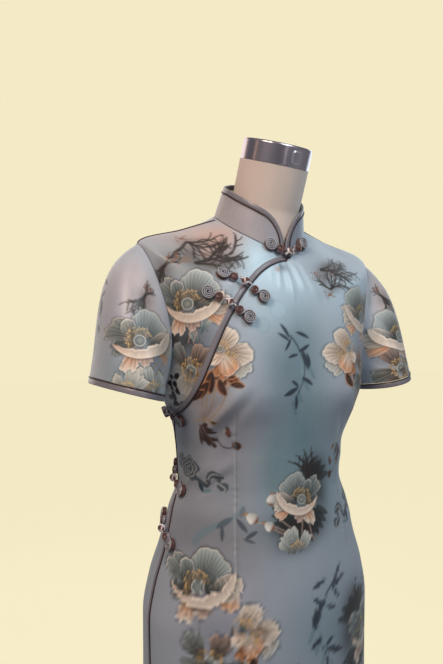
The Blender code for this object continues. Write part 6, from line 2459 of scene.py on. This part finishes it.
# ------------------------------------------------------------------ finishes
class Shader:
    """A Principled material being put together, with short methods that add nodes and join them."""

    def __init__(self, name: str, roughness: float, metallic: float = 0.0) -> None:
        """Starts a material with a constant roughness and metallic share."""
        self.material = bpy.data.materials.new(name)
        self.material.use_nodes = True
        self.tree = self.material.node_tree
        self.surface = self.tree.nodes["Principled BSDF"]
        self.constant("Roughness", roughness)
        self.constant("Metallic", metallic)

    def constant(self, socket: str, value: float | tuple[float, ...]) -> None:
        """Sets one of the surface's own numbers or colours."""
        self.surface.inputs[socket].default_value = value

    def node(self, kind: str, joins: dict[str | int, object]) -> Node:
        """Adds a node and fills its inputs, from sockets or plain values."""
        made = self.tree.nodes.new(f"ShaderNode{kind}")
        for key, value in joins.items():
            if isinstance(value, NodeSocket):
                self.tree.links.new(value, made.inputs[key])
            else:
                made.inputs[key].default_value = value
        return made

    def mapped(self, source: NodeSocket, *scale: float) -> NodeSocket:
        """Coordinates, scaled."""
        return self.node("Mapping", {"Vector": source, "Scale": scale}).outputs[0]

    def uv(self, *scale: float) -> NodeSocket:
        """The piece's own cloth coordinates, scaled."""
        source = self.node("UVMap", {})
        source.uv_map = "Cloth"
        return self.mapped(source.outputs[0], *scale)

    def place(self, *scale: float) -> NodeSocket:
        """Object coordinates, scaled."""
        return self.mapped(self.node("TexCoord", {}).outputs["Object"], *scale)

    def noise(self, vector: NodeSocket, detail: float) -> NodeSocket:
        """Soft noise from 0 to 1."""
        return self.node("TexNoise", {"Vector": vector, "Scale": 1.0, "Detail": detail}).outputs["Fac"]

    def waves(self, scale: float, distortion: float, direction: str) -> NodeSocket:
        """Ridges across the cloth's coordinates."""
        made = self.node("TexWave", {"Vector": self.uv(900, 900, 1), "Scale": scale, "Distortion": distortion})
        made.bands_direction = direction
        return made.outputs["Fac"]

    def times(self, a: NodeSocket, b: NodeSocket) -> NodeSocket:
        """One number times another."""
        made = self.node("Math", {0: a, 1: b})
        made.operation = "MULTIPLY"
        return made.outputs[0]

    def spread(self, value: NodeSocket, low: float, high: float) -> NodeSocket:
        """Maps 0 to 1 onto low to high."""
        return self.node("MapRange", {"Value": value, "To Min": low, "To Max": high}).outputs[0]

    def tint(self, base: NodeSocket, shade: NodeSocket) -> NodeSocket:
        """Multiplies a colour by a grey."""
        made = self.node("Mix", {})
        made.data_type, made.blend_type = "RGBA", "MULTIPLY"
        made.inputs[0].default_value = 1.0
        self.tree.links.new(base, made.inputs[6])
        self.tree.links.new(shade, made.inputs[7])
        return made.outputs[2]

    def plain(self, colour: Sequence[float]) -> NodeSocket:
        """One colour all over."""
        made = self.node("RGB", {})
        made.outputs[0].default_value = (*colour, 1.0)
        return made.outputs[0]

    def painted(self) -> NodeSocket:
        """The colour painted on the piece."""
        made = self.node("Attribute", {})
        made.attribute_name = "PrintAndPaintedLight"
        return made.outputs["Color"]

    def finish(self, colour: NodeSocket, height: NodeSocket | None = None, depth: float = 0.0002) -> Material:
        """Joins the colour and the height to the surface.

        Args:
            colour: for the base colour.
            height: for a bump, if there is one.
            depth: of that bump.

        Returns:
            The material.
        """
        self.tree.links.new(colour, self.surface.inputs["Base Color"])
        if height is not None:
            bump = self.node("Bump", {"Height": height, "Strength": 0.6, "Distance": depth})
            self.tree.links.new(bump.outputs[0], self.surface.inputs["Normal"])
        return self.material


@dataclass(frozen=True)
class Satin:
    """Silky satin: the print or a plain colour, with fine warp lines and a soft sheen."""

    name: str
    colour: tuple[float, float, float] | None = None
    roughness: float = 0.42
    sheen: float = 0.25
    warp: float = 2400.0  # threads to the metre

    def material(self) -> Material:
        """Thread lines from stretched noise on the cloth's own coordinates, and slow changes of tone."""
        shader = Shader(self.name, self.roughness)
        shader.constant("Sheen Weight", self.sheen)
        shader.constant("Sheen Roughness", 0.35)
        threads = shader.noise(shader.uv(self.warp, self.warp / 14, 1), 2)
        slow = shader.noise(shader.uv(30, 22, 1), 4)
        base = shader.plain(self.colour) if self.colour else shader.painted()
        shade = shader.times(shader.spread(threads, 0.9, 1.08), shader.spread(slow, 0.93, 1.07))
        return shader.finish(shader.tint(base, shade), threads, 0.00012)


@dataclass(frozen=True)
class TwistedCord:
    """Dark silk cord with a fine twist."""

    name: str = "PipingCord"
    colour: tuple[float, float, float] = (0.034, 0.011, 0.009)

    def material(self) -> Material:
        """Slanting ridges round the cord."""
        shader = Shader(self.name, 0.5)
        shader.constant("Sheen Weight", 0.05)
        ridges = shader.waves(0.5, 0.6, "DIAGONAL")
        return shader.finish(shader.tint(shader.plain(self.colour), shader.spread(ridges, 0.75, 1.25)), ridges)


@dataclass(frozen=True)
class Jersey:
    """Cream knitted cover of the form."""

    name: str = "FormJersey"
    colour: tuple[float, float, float] = (0.66, 0.54, 0.47)

    def material(self) -> Material:
        """Fine ribs of knitting over slow patches of tone."""
        shader = Shader(self.name, 0.82)
        shader.constant("Sheen Weight", 0.3)
        ribs = shader.waves(0.32, 1.5, "Y")
        slow = shader.noise(shader.place(14, 14, 14), 5)
        plain = shader.plain(self.colour)
        shade = shader.times(shader.spread(ribs, 0.96, 1.03), shader.spread(slow, 0.92, 1.06))
        return shader.finish(shader.tint(plain, shade), ribs)


@dataclass(frozen=True)
class BrushedSteel:
    """Brushed steel with fine lines round the piece and the tone painted on it."""

    name: str = "BrushedSteel"

    def material(self) -> Material:
        """Lines from noise squeezed along the piece's height, in tone and roughness."""
        shader = Shader(self.name, 0.26, 1.0)
        lines = shader.noise(shader.place(8, 8, 2600), 2)
        made = shader.finish(shader.tint(shader.painted(), shader.spread(lines, 0.94, 1.05)))
        shader.tree.links.new(shader.spread(lines, 0.2, 0.27), shader.surface.inputs["Roughness"])
        return made


# ------------------------------------------------------------------ studio
class Lamp(NamedTuple):
    """A soft lamp: its direction round the figure, distance, height, size, power and colour."""

    name: str
    turn: float
    away: float
    height: float
    size: Point
    power: float
    colour: tuple[float, float, float]


LAMPS = table(
    Lamp,
    ("KeyWarm", -58, 1.5, 2.35, (0.6, 0.6), 23, (1, 0.8, 0.66)),
    ("TopCool", 10, 1.3, 2.45, (0.7, 0.7), 15, (0.8, 0.93, 1)),
    ("RimCool", 120, 1.9, 1.9, (1.1, 1.5), 7.5, (0.78, 0.92, 1)),
    ("BackSoft", 176, 2.4, 2.1, (2.4, 2.4), 21, (1, 0.92, 0.86)),
    ("StripSide", -99, 1.3, 1.6, (0.1, 1.2), 0.45, (1, 0.66, 0.4)),
    ("StripBehind", -152, 1.3, 1.6, (0.12, 1.2), 0.55, (1, 0.66, 0.4)),
    ("StripFront", -1, 2.2, 1.6, (0.1, 1.2), 2.5, (1, 0.96, 0.98)),
)


@dataclass
class Studio:
    """Pale floor, cream surroundings, soft lamps and the camera."""

    azimuth: float = math.radians(-31)
    distance: float = 0.85
    height: float = 1.263
    focal_px: float = 567.0
    frame_height_px: float = 664.0
    yaw_px: float = 37.5
    sensor: float = 36.0
    cream: tuple[float, float, float, float] = (0.905, 0.823, 0.565, 1)
    cool: tuple[float, float, float, float] = (0.8, 0.84, 0.9, 1)
    ambient: float = 0.22
    chest: tuple[float, float, float] = (0, -0.05, 1.3)
    floor_half: float = 14.0

    def camera(self) -> None:
        """A level camera turned a little to one side of the figure's axis."""
        data = bpy.data.cameras.new("Camera")
        data.sensor_fit, data.sensor_height = "VERTICAL", self.sensor
        data.lens = self.sensor * self.focal_px / self.frame_height_px
        data.clip_start = 0.01
        sine, cosine = math.sin(self.azimuth), math.cos(self.azimuth)
        ahead, right = Vector((-sine, cosine, 0)), Vector((cosine, sine, 0))
        forward = (ahead - right * (self.yaw_px / self.focal_px)).normalized()
        right = forward.cross(Vector((0, 0, 1))).normalized()
        columns = Matrix((right, right.cross(forward), -forward)).transposed().to_4x4()
        obj = bpy.context.scene.camera = link("Camera", data)
        obj.matrix_world = Matrix.Translation((sine * self.distance, -cosine * self.distance, self.height)) @ columns

    def light(self, lamp: Lamp) -> None:
        """A lamp that faces the chest."""
        data = bpy.data.lights.new(lamp.name, "AREA")
        data.shape, data.energy, data.color = "RECTANGLE", lamp.power, lamp.colour
        data.size, data.size_y = lamp.size
        a = math.radians(lamp.turn)
        at, aim = Vector((lamp.away * math.sin(a), -lamp.away * math.cos(a), lamp.height)), Vector(self.chest)
        turned_to = (aim - at).to_track_quat("-Z", "Y").to_matrix().to_4x4()
        link(lamp.name, data).matrix_world = Matrix.Translation(at) @ turned_to

    def surroundings(self) -> None:
        """An even cream world for the camera, and a dimmer cool one for all other rays."""
        world = bpy.context.scene.world = bpy.data.worlds.new("Cream")
        world.use_nodes = True
        tree = world.node_tree
        seen, lit = tree.nodes["Background"], tree.nodes.new("ShaderNodeBackground")
        for node, colour, strength in ((seen, self.cream, 1.0), (lit, self.cool, self.ambient)):
            node.inputs["Color"].default_value, node.inputs["Strength"].default_value = colour, strength
        mix, path = tree.nodes.new("ShaderNodeMixShader"), tree.nodes.new("ShaderNodeLightPath")
        for index, socket in enumerate((path.outputs["Is Camera Ray"], lit.outputs[0], seen.outputs[0])):
            tree.links.new(socket, mix.inputs[index])
        tree.links.new(mix.outputs[0], tree.nodes["World Output"].inputs["Surface"])

    def floor(self) -> None:
        """A plain pale floor that runs out of sight."""
        mesh, half = bpy.data.meshes.new("Floor"), self.floor_half
        mesh.from_pydata([(-half, -half, 0), (half, -half, 0), (half, half, 0), (-half, half, 0)], [], [(0, 1, 2, 3)])
        shader = Shader("PaleFloor", 0.7)
        shader.constant("Specular IOR Level", 0.0)
        tone = shader.spread(shader.noise(shader.place(3, 3, 3), 4), 0.85, 1)
        shader.constant("Emission Color", self.cream)
        shader.constant("Emission Strength", 0.97)
        mesh.materials.append(shader.finish(shader.tint(shader.plain((0.1, 0.09, 0.06)), tone)))
        floor = link("Floor", mesh)
        floor.visible_diffuse = floor.visible_glossy = False

    def build(self) -> None:
        """Everything round the object."""
        self.surroundings()
        self.floor()
        bpy.context.scene.view_settings.view_transform = "Standard"
        for lamp in LAMPS:
            self.light(lamp)
        self.camera()


# ------------------------------------------------------------------ the whole piece
def slot_of(node: str) -> str:
    """The record's material slot of a CAD node."""
    kinds = {
        "_binding": "satin_binding",
        "piping": "piping",
        "frog": "frog_ribbon",
        "collar": "plain_satin",
        "form_torso": "form_jersey",
        "cap": "brushed_steel",
        "stand": "brushed_steel",
    }
    return next((slot for part, slot in kinds.items() if part in node), "printed_satin")


def main() -> None:
    """Builds the dress, the form and the stand, dresses them and sets the studio."""
    logging.basicConfig(level=logging.INFO, format="%(name)s: %(message)s")
    collar, made = Collar(), {}
    sheets = {"front_panel": FrontPanel(), "back_panel": BackPanel(), "underlap": Underlap()}
    sheets |= {"sleeve_right": Sleeve("right", -1), "sleeve_left": Sleeve("left", 1), "collar": collar}
    for part in sheets.values():
        made |= part.build()
    made |= shoulder_piping()
    cloth = Rest(list(made.values()))
    for frog in FROGS:
        made |= FrogFastening(frog, collar, cloth).build()
    made |= DressForm().build() | Stand().build()
    finishes = {
        "printed_satin": Satin("PrintedSatin").material(),
        "plain_satin": Satin("PlainSatin").material(),
        "satin_binding": Satin("SatinBinding", (0.185, 0.17, 0.192), 0.27).material(),
        "piping": TwistedCord().material(),
        "frog_ribbon": Satin("FrogRibbon", roughness=0.36).material(),
        "form_jersey": Jersey().material(),
        "brushed_steel": BrushedSteel().material(),
    }
    for node, obj in made.items():
        slot = slot_of(node)
        obj.data.materials.append(finishes[slot])
        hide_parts(node)
        LOG.info("%s stands for %s, %d vertices", obj.name, node, len(obj.data.vertices))
    for node, part in sheets.items():
        area, held = part.shell.area, "laid" if node == "collar" else "hung"
        LOG.info("%s: area %.4f", node, area)
        if node in PRINTS:
            print_cloth(node, part.shell, made[node])
        else:
            line_collar(part.shell, made[node])
    Studio().build()


if __name__ == "__main__":
    main()
